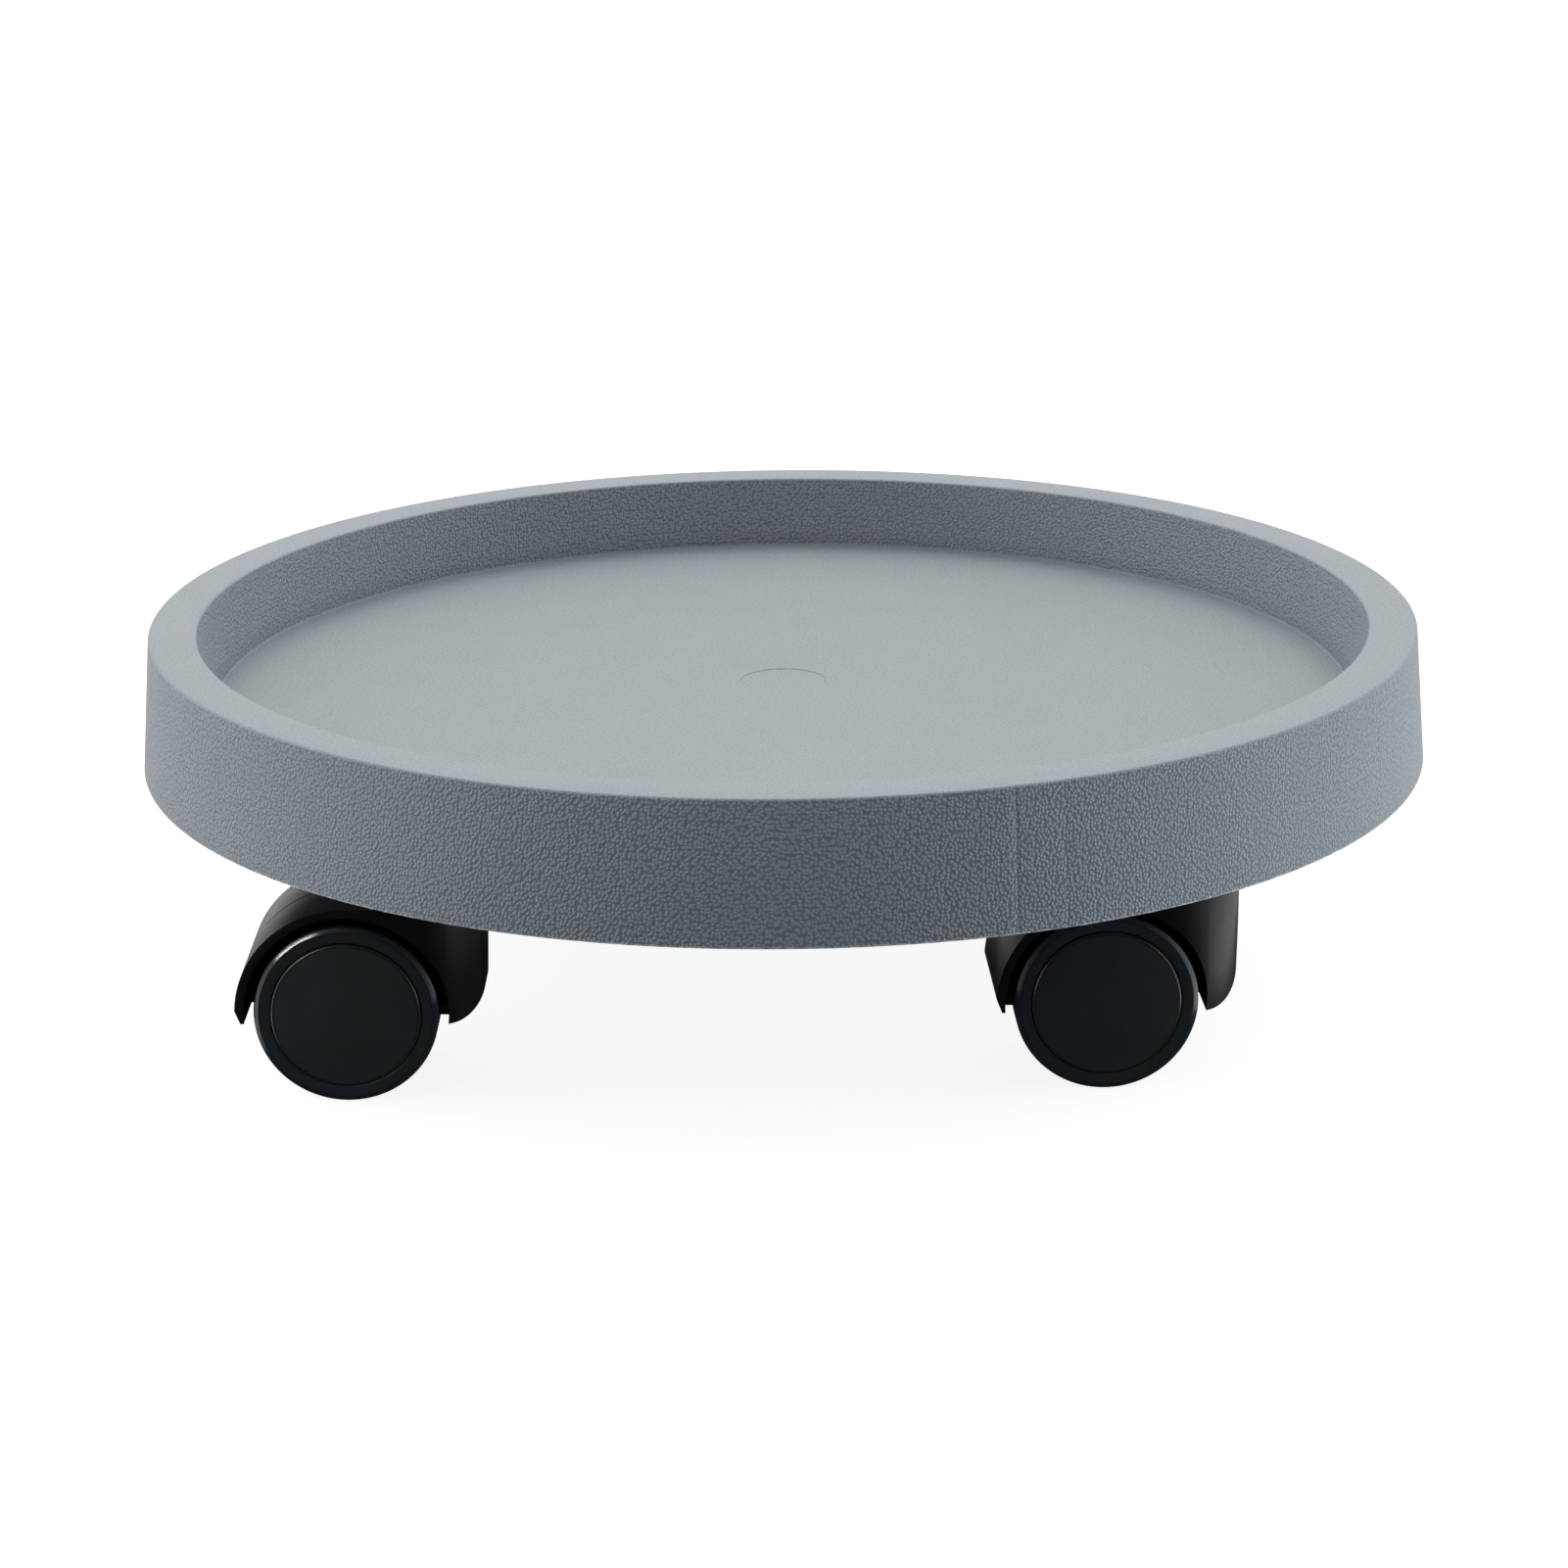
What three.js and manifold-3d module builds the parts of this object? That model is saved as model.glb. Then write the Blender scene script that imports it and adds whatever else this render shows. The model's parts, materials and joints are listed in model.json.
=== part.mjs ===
// A round plant pot caddy: a moulded tray with a raised rim, carried on four hooded twin-wheel
// swivel castors. Each castor's steel stem is pushed into a boss under the tray.
// Millimetres, +Z up. The origin is on the ground, below the middle of the tray. The tray's front
// faces -Y. In a castor's own frame the stem is the Z axis and the nose of the hood points to +X.
import * as THREE from "three";
import { mergeVertices } from "three/addons/utils/BufferGeometryUtils.js";
import Module from "manifold-3d";

const wasm = await Module();
wasm.setup();

// Clear space between two pieces that touch on the real object.
const GAP = 0.3;
// Vertices closer than this are one vertex.
const MERGE_DISTANCE = 1e-3;
// A cutting tool passes this far beyond the face that it opens.
const OVERRUN = 1;

// Tray: heights are above the ground, radii are from the tray's own axis.
const TOTAL_HEIGHT = 83.4;
const SKIRT_HEIGHT = 31;
const FLOOR_DEPTH = 17.3;
const BASE_RADIUS = 150;
const RIM_OUTER_RADIUS = 147.5;
const RIM_INNER_RADIUS = 136.5;
const FLOOR_RADIUS = 132.8;
const TRAY_WALL = 3;
const TRAY_SIDES = 72;
const GATE_MARK_RADIUS = 10;
const GATE_MARK_DEPTH = 0.25;
const GATE_MARK_SIDES = 24;

// Ribs below the tray's floor. The first rib and the castors are turned by the same few degrees.
const RIB_COUNT = 16;
const RIB_THICKNESS = 2.4;
const RIB_DEPTH = 5;
const TRAY_TURN = 1.3;
const RING_RIB_RADII = [22, 76];

// Bosses that take the castors' stems.
const CASTOR_CIRCLE_RADIUS = 116;
const BOSS_RADIUS = 10;
const BOSS_BOTTOM = 50.9;
const BOSS_BORE_RADIUS = 6.5;
const BOSS_BORE_TOP = 63;
const BOSS_SIDES = 16;

// Wheels and their snap-in caps, measured along the axle from the castor's middle plane.
const WHEEL_RADIUS = 20;
const WHEEL_SIDES = 24;
const WHEEL_INNER_FACE = 6.3;
const WHEEL_OUTER_FACE = 14.4;
const WHEEL_SHOULDER = 1.2;
const WHEEL_HUB_RADIUS = 5;
const WHEEL_HUB_END = 12.3;
const WHEEL_WEB_FACES = [9, 10.8];
const CAP_SEAT_RADIUS = 16.4;
const CAP_OUTER_FACE = 15.9;
const CAP_THICKNESS = 1.3;
const CAP_LIP_WIDTH = 1.8;
const CAP_SIDES = 20;

// Axle, stem and the pieces on the stem.
const AXLE_RADIUS = 2.5;
const AXLE_HALF_LENGTH = 12.8;
const RUNNING_CLEARANCE = 0.15;
const PIN_SIDES = 16;
const STEM_PIN_RADIUS = 3.5;
const STEM_SHANK_RADIUS = 4;
const STEM_COLLAR_RADIUS = 7;
const STEM_COLLAR_THICKNESS = 1.5;
const STEM_TIP_TAPER = 0.8;
const STEM_BOTTOM = 27.5;
const STEM_TOP = 62.2;
const GRIP_GROOVE_RADIUS = 3.2;
const GRIP_GROOVE_BOTTOM = 55.9;
const GRIP_RING_HEIGHT = 3.4;
const GRIP_RING_OUTER_RADIUS = 4.5;
const GRIP_RING_SLIT = Math.PI / 5;
const GRIP_RING_ARC_STEPS = 8;
const WASHER_THICKNESS = 1;
const SLEEVE_BORE_RADIUS = 4.8;
const SLEEVE_FLANGE_RADIUS = 8.5;
const SLEEVE_FLANGE_THICKNESS = 1.2;

// Housing: the hood over both wheels, its nose round the stem and the web between the wheels.
// The hood's rear end is cut on a slant, from TIP_CUT_HEIGHT outside down to TIP_HEIGHT.
const TRAIL = 14.9;
const HOOD_RADIUS = 24;
const HOOD_WELL_RADIUS = 22.1;
const HOOD_HALF_WIDTH = 15.5;
const TIP_CUT_HEIGHT = 21.3;
const TIP_HEIGHT = 18.3;
const TIP_CUT_DEPTH = 1.2;
const NOSE_BOTTOM = 17;
const NOSE_REACH = 15.4;
const NOSE_ROUND_START = -2.5;
const NOSE_DRAFT = 0.7;
const NOSE_CORNER_RADIUS = 6.8;
const NOSE_TOP_FILLET = 3;
const NOSE_WALL = 2.2;
const WEB_HALF_THICKNESS = 2;
const WEB_BOTTOM = 15;
const STEM_HUB_RADIUS = 5.7;
const STEM_HUB_BOTTOM = 24;
const AXLE_BOSS_RADIUS = 5;
const AXLE_BOSS_END = 5.9;
const TURRET_RADIUS = 9;
const TURRET_HEIGHT = 2;
const HOOD_ARC_STEPS = 8;

// Heights that follow from the ones above.
const AXLE_HEIGHT = WHEEL_RADIUS;
const SKIRT_BOTTOM = TOTAL_HEIGHT - SKIRT_HEIGHT;
const FLOOR_TOP = TOTAL_HEIGHT - FLOOR_DEPTH;
const FLOOR_UNDERSIDE = FLOOR_TOP - TRAY_WALL;
const RIM_UNDERSIDE = TOTAL_HEIGHT - TRAY_WALL;
const HOOD_TOP = AXLE_HEIGHT + HOOD_RADIUS;
const TURRET_TOP = HOOD_TOP + TURRET_HEIGHT;
const WASHER_BOTTOM = TURRET_TOP + GAP;
const COLLAR_BOTTOM = WASHER_BOTTOM + WASHER_THICKNESS + GAP;
const COLLAR_TOP = COLLAR_BOTTOM + STEM_COLLAR_THICKNESS;

// The castors, with the way each nose points, in degrees from +X.
const CASTORS = [
  { place: "front_left", bearing: 225 + TRAY_TURN, heading: 0 },
  { place: "front_right", bearing: 315 + TRAY_TURN, heading: 2 },
  { place: "back_right", bearing: 45 + TRAY_TURN, heading: 4 },
  { place: "back_left", bearing: 135 + TRAY_TURN, heading: -3 },
];

const MATERIALS = {
  trayPlastic: { color: 0x6f7a82, roughness: 0.62, metalness: 0 },
  castorPlastic: { color: 0x17191b, roughness: 0.42, metalness: 0 },
  capPlastic: { color: 0x1b1e20, roughness: 0.5, metalness: 0 },
  sleevePlastic: { color: 0xc9c8c0, roughness: 0.5, metalness: 0 },
  steel: { color: 0xb4b6b8, roughness: 0.3, metalness: 1 },
};

// A closed geometry as a solid, for joining and cutting.
function solidOf(geometry) {
  const bare = geometry.clone();
  bare.deleteAttribute("normal");
  bare.deleteAttribute("uv");
  const merged = mergeVertices(bare, MERGE_DISTANCE);
  const corners = merged.index.array;
  const kept = [];
  for (let i = 0; i < corners.length; i += 3) {
    const [a, b, c] = corners.slice(i, i + 3);
    const hasArea = a !== b && b !== c && c !== a;
    if (hasArea) kept.push(a, b, c);
  }
  const mesh = new wasm.Mesh({
    numProp: 3,
    vertProperties: merged.attributes.position.array,
    triVerts: new Uint32Array(kept),
  });
  return new wasm.Manifold(mesh);
}

// A solid as a geometry with flat faces.
function geometryOf(solid) {
  const { vertProperties, triVerts } = solid.getMesh();
  const indexed = new THREE.BufferGeometry();
  indexed.setAttribute("position", new THREE.BufferAttribute(vertProperties, 3));
  indexed.setIndex(new THREE.BufferAttribute(triVerts, 1));
  const flat = indexed.toNonIndexed();
  flat.computeVertexNormals();
  return flat;
}

// A [radius, height] outline turned round Z. It runs anticlockwise, with the radius to the right.
function revolve(outline, sides) {
  const points = outline.map(([radius, height]) => new THREE.Vector2(radius, height));
  return new THREE.LatheGeometry(points, sides).rotateX(Math.PI / 2);
}

// A ring of rectangular section round Z.
function ring(innerRadius, outerRadius, bottom, top, sides) {
  const outline = [
    [innerRadius, bottom],
    [outerRadius, bottom],
    [outerRadius, top],
    [innerRadius, top],
    [innerRadius, bottom],
  ];
  return revolve(outline, sides);
}

// An upright cylinder from one height to another.
function column(radius, bottom, top, sides) {
  const height = top - bottom;
  const upright = new THREE.CylinderGeometry(radius, radius, height, sides).rotateX(Math.PI / 2);
  return upright.translate(0, 0, (bottom + top) / 2);
}

// A cylinder along Y, centred on the axle's line of a castor.
function axleCylinder(radius, halfLength, sides) {
  const lying = new THREE.CylinderGeometry(radius, radius, 2 * halfLength, sides);
  return lying.translate(-TRAIL, 0, AXLE_HEIGHT);
}

// A shape drawn in X and Z, given a thickness that is centred on Y = 0.
function sideExtrusion(shape, halfThickness) {
  const settings = { depth: 2 * halfThickness, bevelEnabled: false, curveSegments: HOOD_ARC_STEPS };
  const extruded = new THREE.ExtrudeGeometry(shape, settings).rotateX(Math.PI / 2);
  return extruded.translate(0, halfThickness, 0);
}

// The skirt's outer radius at a height: it flares towards its lower edge.
function skirtRadius(height) {
  const share = (height - SKIRT_BOTTOM) / SKIRT_HEIGHT;
  return THREE.MathUtils.lerp(BASE_RADIUS, RIM_OUTER_RADIUS, share);
}

// The radius of the wall round the pot at a height: it opens towards the rim.
function recessRadius(height) {
  const share = (height - FLOOR_TOP) / FLOOR_DEPTH;
  return THREE.MathUtils.lerp(FLOOR_RADIUS, RIM_INNER_RADIUS, share);
}

// Floor, wall round the pot, hollow rim and skirt.
function trayShell() {
  const outline = [
    [0, FLOOR_UNDERSIDE],
    [recessRadius(FLOOR_UNDERSIDE) + TRAY_WALL, FLOOR_UNDERSIDE],
    [recessRadius(RIM_UNDERSIDE) + TRAY_WALL, RIM_UNDERSIDE],
    [skirtRadius(RIM_UNDERSIDE) - TRAY_WALL, RIM_UNDERSIDE],
    [BASE_RADIUS - TRAY_WALL, SKIRT_BOTTOM],
    [BASE_RADIUS, SKIRT_BOTTOM],
    [RIM_OUTER_RADIUS, TOTAL_HEIGHT],
    [RIM_INNER_RADIUS, TOTAL_HEIGHT],
    [FLOOR_RADIUS, FLOOR_TOP],
    [0, FLOOR_TOP],
  ];
  return revolve(outline, TRAY_SIDES);
}

// One upright rib from the middle ring to the skirt, along +X. Its edges end inside the walls.
function radialRib() {
  const half = TRAY_WALL / 2;
  const bottom = FLOOR_UNDERSIDE - RIB_DEPTH;
  const inFloor = FLOOR_UNDERSIDE + half;
  const inRim = RIM_UNDERSIDE + half;
  const outline = [
    [RING_RIB_RADII[0], bottom],
    [skirtRadius(bottom) - half, bottom],
    [skirtRadius(inRim) - half, inRim],
    [recessRadius(inRim) + half, inRim],
    [recessRadius(inFloor) + half, inFloor],
    [RING_RIB_RADII[0], inFloor],
  ];
  const shape = new THREE.Shape(outline.map(([radius, height]) => new THREE.Vector2(radius, height)));
  return sideExtrusion(shape, RIB_THICKNESS / 2);
}

// A point on the circle of the castors' stems.
function castorPlace(bearing) {
  const angle = THREE.MathUtils.degToRad(bearing);
  return new THREE.Vector3(Math.cos(angle), Math.sin(angle), 0).multiplyScalar(CASTOR_CIRCLE_RADIUS);
}

function makeTray() {
  let tray = solidOf(trayShell());
  const ribBottom = FLOOR_UNDERSIDE - RIB_DEPTH;
  const insideFloor = FLOOR_UNDERSIDE + TRAY_WALL / 2;
  for (let i = 0; i < RIB_COUNT; i++) {
    const bearing = (i * 360) / RIB_COUNT + TRAY_TURN;
    const rib = radialRib().rotateZ(THREE.MathUtils.degToRad(bearing));
    tray = tray.add(solidOf(rib));
  }
  for (const radius of RING_RIB_RADII) {
    const inner = radius - RIB_THICKNESS / 2;
    const outer = radius + RIB_THICKNESS / 2;
    tray = tray.add(solidOf(ring(inner, outer, ribBottom, insideFloor, TRAY_SIDES)));
  }
  for (const { bearing } of CASTORS) {
    const { x, y } = castorPlace(bearing);
    const boss = column(BOSS_RADIUS, BOSS_BOTTOM, insideFloor, BOSS_SIDES).translate(x, y, 0);
    const bore = column(BOSS_BORE_RADIUS, BOSS_BOTTOM - OVERRUN, BOSS_BORE_TOP, BOSS_SIDES);
    tray = tray.add(solidOf(boss)).subtract(solidOf(bore.translate(x, y, 0)));
  }
  const markBottom = FLOOR_TOP - GATE_MARK_DEPTH;
  const mark = column(GATE_MARK_RADIUS, markBottom, FLOOR_TOP + OVERRUN, GATE_MARK_SIDES);
  return geometryOf(tray.subtract(solidOf(mark)));
}

// The hood seen from its side, moved inwards by inset: the arch over the wheels, the level top,
// the front of the nose, its rounded lower corner and the slanted cut at the rear end.
function hoodSideShape(inset) {
  const archRadius = HOOD_RADIUS - inset;
  const bottom = NOSE_BOTTOM + inset;
  const top = HOOD_TOP - inset;
  const front = NOSE_REACH - inset;
  const fillet = NOSE_TOP_FILLET - inset;
  const corner = NOSE_CORNER_RADIUS - inset;
  const cornerX = front - NOSE_DRAFT - corner;
  const cutAngle = Math.PI - Math.asin((TIP_CUT_HEIGHT - AXLE_HEIGHT) / archRadius);
  const shape = new THREE.Shape();
  shape.absarc(-TRAIL, AXLE_HEIGHT, archRadius, cutAngle, Math.PI / 2, true);
  shape.absarc(front - fillet, top - fillet, fillet, Math.PI / 2, 0, true);
  shape.absarc(cornerX, bottom + corner, corner, 0, -Math.PI / 2, true);
  shape.lineTo(-TRAIL - archRadius + TIP_CUT_DEPTH, TIP_HEIGHT + inset);
  return shape;
}

// The hood seen from above, moved inwards by inset: straight sides and a half-oval nose.
function hoodPlanShape(inset) {
  const halfWidth = HOOD_HALF_WIDTH - inset;
  const rear = -TRAIL - HOOD_RADIUS - OVERRUN;
  const shape = new THREE.Shape();
  shape.moveTo(rear, -halfWidth);
  const length = NOSE_REACH - NOSE_ROUND_START - inset;
  shape.absellipse(NOSE_ROUND_START, 0, length, halfWidth, -Math.PI / 2, Math.PI / 2, false);
  shape.lineTo(rear, halfWidth);
  return shape;
}

// The hood's outer form, moved inwards by inset, as a solid without its wheel wells.
function hoodForm(inset) {
  const side = solidOf(sideExtrusion(hoodSideShape(inset), HOOD_HALF_WIDTH + OVERRUN));
  const settings = { depth: HOOD_TOP + OVERRUN, bevelEnabled: false, curveSegments: HOOD_ARC_STEPS };
  const plan = solidOf(new THREE.ExtrudeGeometry(hoodPlanShape(inset), settings));
  return side.intersect(plan);
}

function makeHousing() {
  const beyondHood = 2 * (TRAIL + HOOD_RADIUS + NOSE_REACH);
  const webSlab = new THREE.BoxGeometry(beyondHood, 2 * WEB_HALF_THICKNESS, beyondHood);
  const well = axleCylinder(HOOD_WELL_RADIUS, HOOD_HALF_WIDTH + OVERRUN, 2 * WHEEL_SIDES);
  const hollow = solidOf(well).add(hoodForm(NOSE_WALL)).subtract(solidOf(webSlab));
  const webSpan = 2 * HOOD_WELL_RADIUS - OVERRUN;
  const footHeight = TIP_HEIGHT + OVERRUN - WEB_BOTTOM;
  const webFoot = new THREE.BoxGeometry(webSpan, 2 * WEB_HALF_THICKNESS, footHeight);
  webFoot.translate(-TRAIL, 0, WEB_BOTTOM + footHeight / 2);
  const pinRadius = STEM_PIN_RADIUS + RUNNING_CLEARANCE;
  const stemBore = column(pinRadius, STEM_BOTTOM - GAP, TURRET_TOP + OVERRUN, PIN_SIDES);
  const axleBore = axleCylinder(AXLE_RADIUS + RUNNING_CLEARANCE, AXLE_BOSS_END + OVERRUN, PIN_SIDES);
  const housing = hoodForm(0)
    .subtract(hollow)
    .add(solidOf(webFoot))
    .add(solidOf(column(STEM_HUB_RADIUS, STEM_HUB_BOTTOM, HOOD_TOP - NOSE_WALL / 2, BOSS_SIDES)))
    .add(solidOf(column(TURRET_RADIUS, HOOD_TOP - NOSE_WALL / 2, TURRET_TOP, BOSS_SIDES)))
    .add(solidOf(axleCylinder(AXLE_BOSS_RADIUS, AXLE_BOSS_END, BOSS_SIDES)))
    .subtract(solidOf(stemBore))
    .subtract(solidOf(axleBore));
  return geometryOf(housing);
}

// Stem: a pin that turns in the housing, a collar that carries the load, and a shank with a
// groove for the grip ring, pushed up into the sleeve.
function makeStem() {
  const grooveTop = GRIP_GROOVE_BOTTOM + GRIP_RING_HEIGHT + 2 * GAP;
  const outline = [
    [0, STEM_BOTTOM],
    [STEM_PIN_RADIUS, STEM_BOTTOM],
    [STEM_PIN_RADIUS, COLLAR_BOTTOM],
    [STEM_COLLAR_RADIUS, COLLAR_BOTTOM],
    [STEM_COLLAR_RADIUS, COLLAR_TOP],
    [STEM_SHANK_RADIUS, COLLAR_TOP],
    [STEM_SHANK_RADIUS, GRIP_GROOVE_BOTTOM],
    [GRIP_GROOVE_RADIUS, GRIP_GROOVE_BOTTOM],
    [GRIP_GROOVE_RADIUS, grooveTop],
    [STEM_SHANK_RADIUS, grooveTop],
    [STEM_SHANK_RADIUS, STEM_TOP - STEM_TIP_TAPER],
    [STEM_SHANK_RADIUS - STEM_TIP_TAPER, STEM_TOP],
    [0, STEM_TOP],
  ];
  return revolve(outline, PIN_SIDES);
}

// Split spring ring that grips the sleeve.
function makeGripRing() {
  const inner = GRIP_GROOVE_RADIUS + GAP;
  const shape = new THREE.Shape();
  shape.absarc(0, 0, GRIP_RING_OUTER_RADIUS, GRIP_RING_SLIT, 2 * Math.PI, false);
  shape.absarc(0, 0, inner, 2 * Math.PI, GRIP_RING_SLIT, true);
  const settings = { depth: GRIP_RING_HEIGHT, bevelEnabled: false, curveSegments: GRIP_RING_ARC_STEPS };
  return new THREE.ExtrudeGeometry(shape, settings).translate(0, 0, GRIP_GROOVE_BOTTOM + GAP);
}

// Thrust washer between the housing's turret and the stem's collar.
function makeWasher() {
  const inner = STEM_PIN_RADIUS + GAP;
  return ring(inner, STEM_COLLAR_RADIUS, WASHER_BOTTOM, WASHER_BOTTOM + WASHER_THICKNESS, PIN_SIDES);
}

// Plastic sleeve that lines the boss, with a flange under it.
function makeSleeve() {
  const outer = BOSS_BORE_RADIUS - GAP;
  const flangeTop = BOSS_BOTTOM - GAP;
  const flangeBottom = flangeTop - SLEEVE_FLANGE_THICKNESS;
  const outline = [
    [SLEEVE_BORE_RADIUS, flangeBottom],
    [SLEEVE_FLANGE_RADIUS, flangeBottom],
    [SLEEVE_FLANGE_RADIUS, flangeTop],
    [outer, flangeTop],
    [outer, BOSS_BORE_TOP - GAP],
    [SLEEVE_BORE_RADIUS, BOSS_BORE_TOP - GAP],
    [SLEEVE_BORE_RADIUS, flangeBottom],
  ];
  return revolve(outline, PIN_SIDES);
}

// Wheel round Z: hub, web and rim, with an open seat for the cap in its outer face.
function makeWheel() {
  const bore = AXLE_RADIUS + RUNNING_CLEARANCE;
  const [webInner, webOuter] = WHEEL_WEB_FACES;
  const outline = [
    [bore, WHEEL_INNER_FACE],
    [WHEEL_HUB_RADIUS, WHEEL_INNER_FACE],
    [WHEEL_HUB_RADIUS, webInner],
    [CAP_SEAT_RADIUS, webInner],
    [CAP_SEAT_RADIUS, WHEEL_INNER_FACE],
    [WHEEL_RADIUS, WHEEL_INNER_FACE],
    [WHEEL_RADIUS, WHEEL_OUTER_FACE - WHEEL_SHOULDER],
    [WHEEL_RADIUS - WHEEL_SHOULDER, WHEEL_OUTER_FACE],
    [CAP_SEAT_RADIUS, WHEEL_OUTER_FACE],
    [CAP_SEAT_RADIUS, webOuter],
    [WHEEL_HUB_RADIUS, webOuter],
    [WHEEL_HUB_RADIUS, WHEEL_HUB_END],
    [bore, WHEEL_HUB_END],
    [bore, WHEEL_INNER_FACE],
  ];
  return revolve(outline, WHEEL_SIDES);
}

// Round cap that snaps into the wheel's outer face and hides the end of the axle.
function makeCap() {
  const outer = CAP_SEAT_RADIUS - GAP;
  const lipInner = outer - CAP_LIP_WIDTH;
  const lipEnd = WHEEL_WEB_FACES[1] + GAP;
  const innerFace = CAP_OUTER_FACE - CAP_THICKNESS;
  const outline = [
    [0, innerFace],
    [lipInner, innerFace],
    [lipInner, lipEnd],
    [outer, lipEnd],
    [outer, CAP_OUTER_FACE],
    [0, CAP_OUTER_FACE],
  ];
  return revolve(outline, CAP_SIDES);
}

function makeAxle() {
  return axleCylinder(AXLE_RADIUS, AXLE_HALF_LENGTH, PIN_SIDES);
}

const TRAY = makeTray();
const HOUSING = makeHousing();
const STEM = makeStem();
const GRIP_RING = makeGripRing();
const WASHER = makeWasher();
const SLEEVE = makeSleeve();
const WHEEL = makeWheel();
const CAP = makeCap();
const AXLE = makeAxle();

function named(name, geometry, materialName) {
  const mesh = new THREE.Mesh(geometry, new THREE.MeshStandardMaterial(MATERIALS[materialName]));
  mesh.name = name;
  return mesh;
}

// A wheel and its cap on one side of the castor: side 1 is its +Y side and side -1 its -Y side.
function wheelPair(place, letter, side) {
  const pair = new THREE.Group();
  pair.add(named(`${place}_wheel_${letter}`, WHEEL, "castorPlastic"));
  pair.add(named(`${place}_wheel_cap_${letter}`, CAP, "capPlastic"));
  pair.position.set(-TRAIL, 0, AXLE_HEIGHT);
  pair.rotation.x = (-side * Math.PI) / 2;
  return pair;
}

// Everything of one castor: what stays with the tray, and what swivels about the stem.
function castor({ place, bearing, heading }) {
  const swivelling = new THREE.Group();
  swivelling.add(named(`${place}_housing`, HOUSING, "castorPlastic"));
  swivelling.add(named(`${place}_axle`, AXLE, "steel"));
  swivelling.add(wheelPair(place, "a", 1));
  swivelling.add(wheelPair(place, "b", -1));
  swivelling.rotation.z = THREE.MathUtils.degToRad(heading);

  const whole = new THREE.Group();
  whole.add(named(`${place}_socket_sleeve`, SLEEVE, "sleevePlastic"));
  whole.add(named(`${place}_stem`, STEM, "steel"));
  whole.add(named(`${place}_grip_ring`, GRIP_RING, "steel"));
  whole.add(named(`${place}_swivel_washer`, WASHER, "steel"));
  whole.add(swivelling);
  whole.position.copy(castorPlace(bearing));
  return whole;
}

const caddy = new THREE.Group();
caddy.add(named("tray", TRAY, "trayPlastic"));
for (const placed of CASTORS) caddy.add(castor(placed));

export default caddy;
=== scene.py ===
import json
import math

import bmesh
import bpy
from mathutils import Matrix, Vector


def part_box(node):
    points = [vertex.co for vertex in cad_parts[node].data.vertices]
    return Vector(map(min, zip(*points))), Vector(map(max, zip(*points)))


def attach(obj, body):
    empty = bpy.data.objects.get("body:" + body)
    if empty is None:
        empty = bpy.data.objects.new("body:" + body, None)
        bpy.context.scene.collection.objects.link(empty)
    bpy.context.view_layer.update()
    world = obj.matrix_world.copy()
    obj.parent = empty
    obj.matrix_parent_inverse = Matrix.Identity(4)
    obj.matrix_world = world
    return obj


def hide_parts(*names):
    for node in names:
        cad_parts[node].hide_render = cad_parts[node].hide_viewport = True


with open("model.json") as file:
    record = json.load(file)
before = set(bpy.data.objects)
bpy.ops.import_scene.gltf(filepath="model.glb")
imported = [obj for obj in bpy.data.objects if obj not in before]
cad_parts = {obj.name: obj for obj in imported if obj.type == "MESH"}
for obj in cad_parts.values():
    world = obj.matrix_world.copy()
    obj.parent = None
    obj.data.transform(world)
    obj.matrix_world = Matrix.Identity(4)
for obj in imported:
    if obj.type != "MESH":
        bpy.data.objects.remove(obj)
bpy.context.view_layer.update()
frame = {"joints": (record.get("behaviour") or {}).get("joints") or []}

MM = 0.001
SMOOTH_ANGLE = math.radians(32)
# Vertices closer than this, in millimetres, are one vertex.
MERGE_DISTANCE = 1e-5
# A Mix node has sockets for every kind of value. These are the ones for colours.
MIX_COLOUR_A, MIX_COLOUR_B, MIX_COLOUR_RESULT = 6, 7, 2

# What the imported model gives: the tray's sizes in millimetres and the stems' places in metres.
tray_low, tray_high = (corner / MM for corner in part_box("tray"))
TOTAL_HEIGHT = tray_high.z
BASE_RADIUS = tray_high.x
BOSS_BOTTOM = tray_low.z
JOINTS = {joint["name"]: joint for joint in frame["joints"]}
PLACES = [name.removesuffix("_swivel") for name in JOINTS if name.endswith("_swivel")]
STEM_SPOTS = [Vector((*JOINTS[place + "_swivel"]["pos_m"][:2], 0)) for place in PLACES]

# Tray.
SKIRT_HEIGHT = 31
FLOOR_DEPTH = 17.3
RIM_OUTER_RADIUS = 147.5
RIM_INNER_RADIUS = 136.5
FLOOR_RADIUS = 132.8
TRAY_WALL = 3
TRAY_SIDES = 288
RIM_ROUND = 0.7
FLOOR_CORNER_ROUND = 0.5
SKIRT_EDGE_ROUND = 0.4
TRAY_INSIDE_ROUND = 1.2
GATE_MARK_RADIUS = 10
GATE_MARK_DEPTH = 0.15
GATE_MARK_ROUND = 0.1
RIB_COUNT = 16
RIB_THICKNESS = 2.4
RIB_DEPTH = 5
RIB_EDGE_ROUND = 0.4
RING_RIB_RADII = (22, 76)
BOSS_RADIUS = 10
BOSS_BORE_RADIUS = 6.5
BOSS_BORE_TOP = 63
# Fine vertical lines on the skirt where the mould's sliding parts met: bearing from +X in
# degrees, half width in degrees and depth in millimetres.
SKIRT_LINES = ((288.4, 0.20, 0.16), (292.6, 0.14, 0.04), (195.5, 0.14, 0.06), (344.5, 0.14, 0.06))

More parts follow.
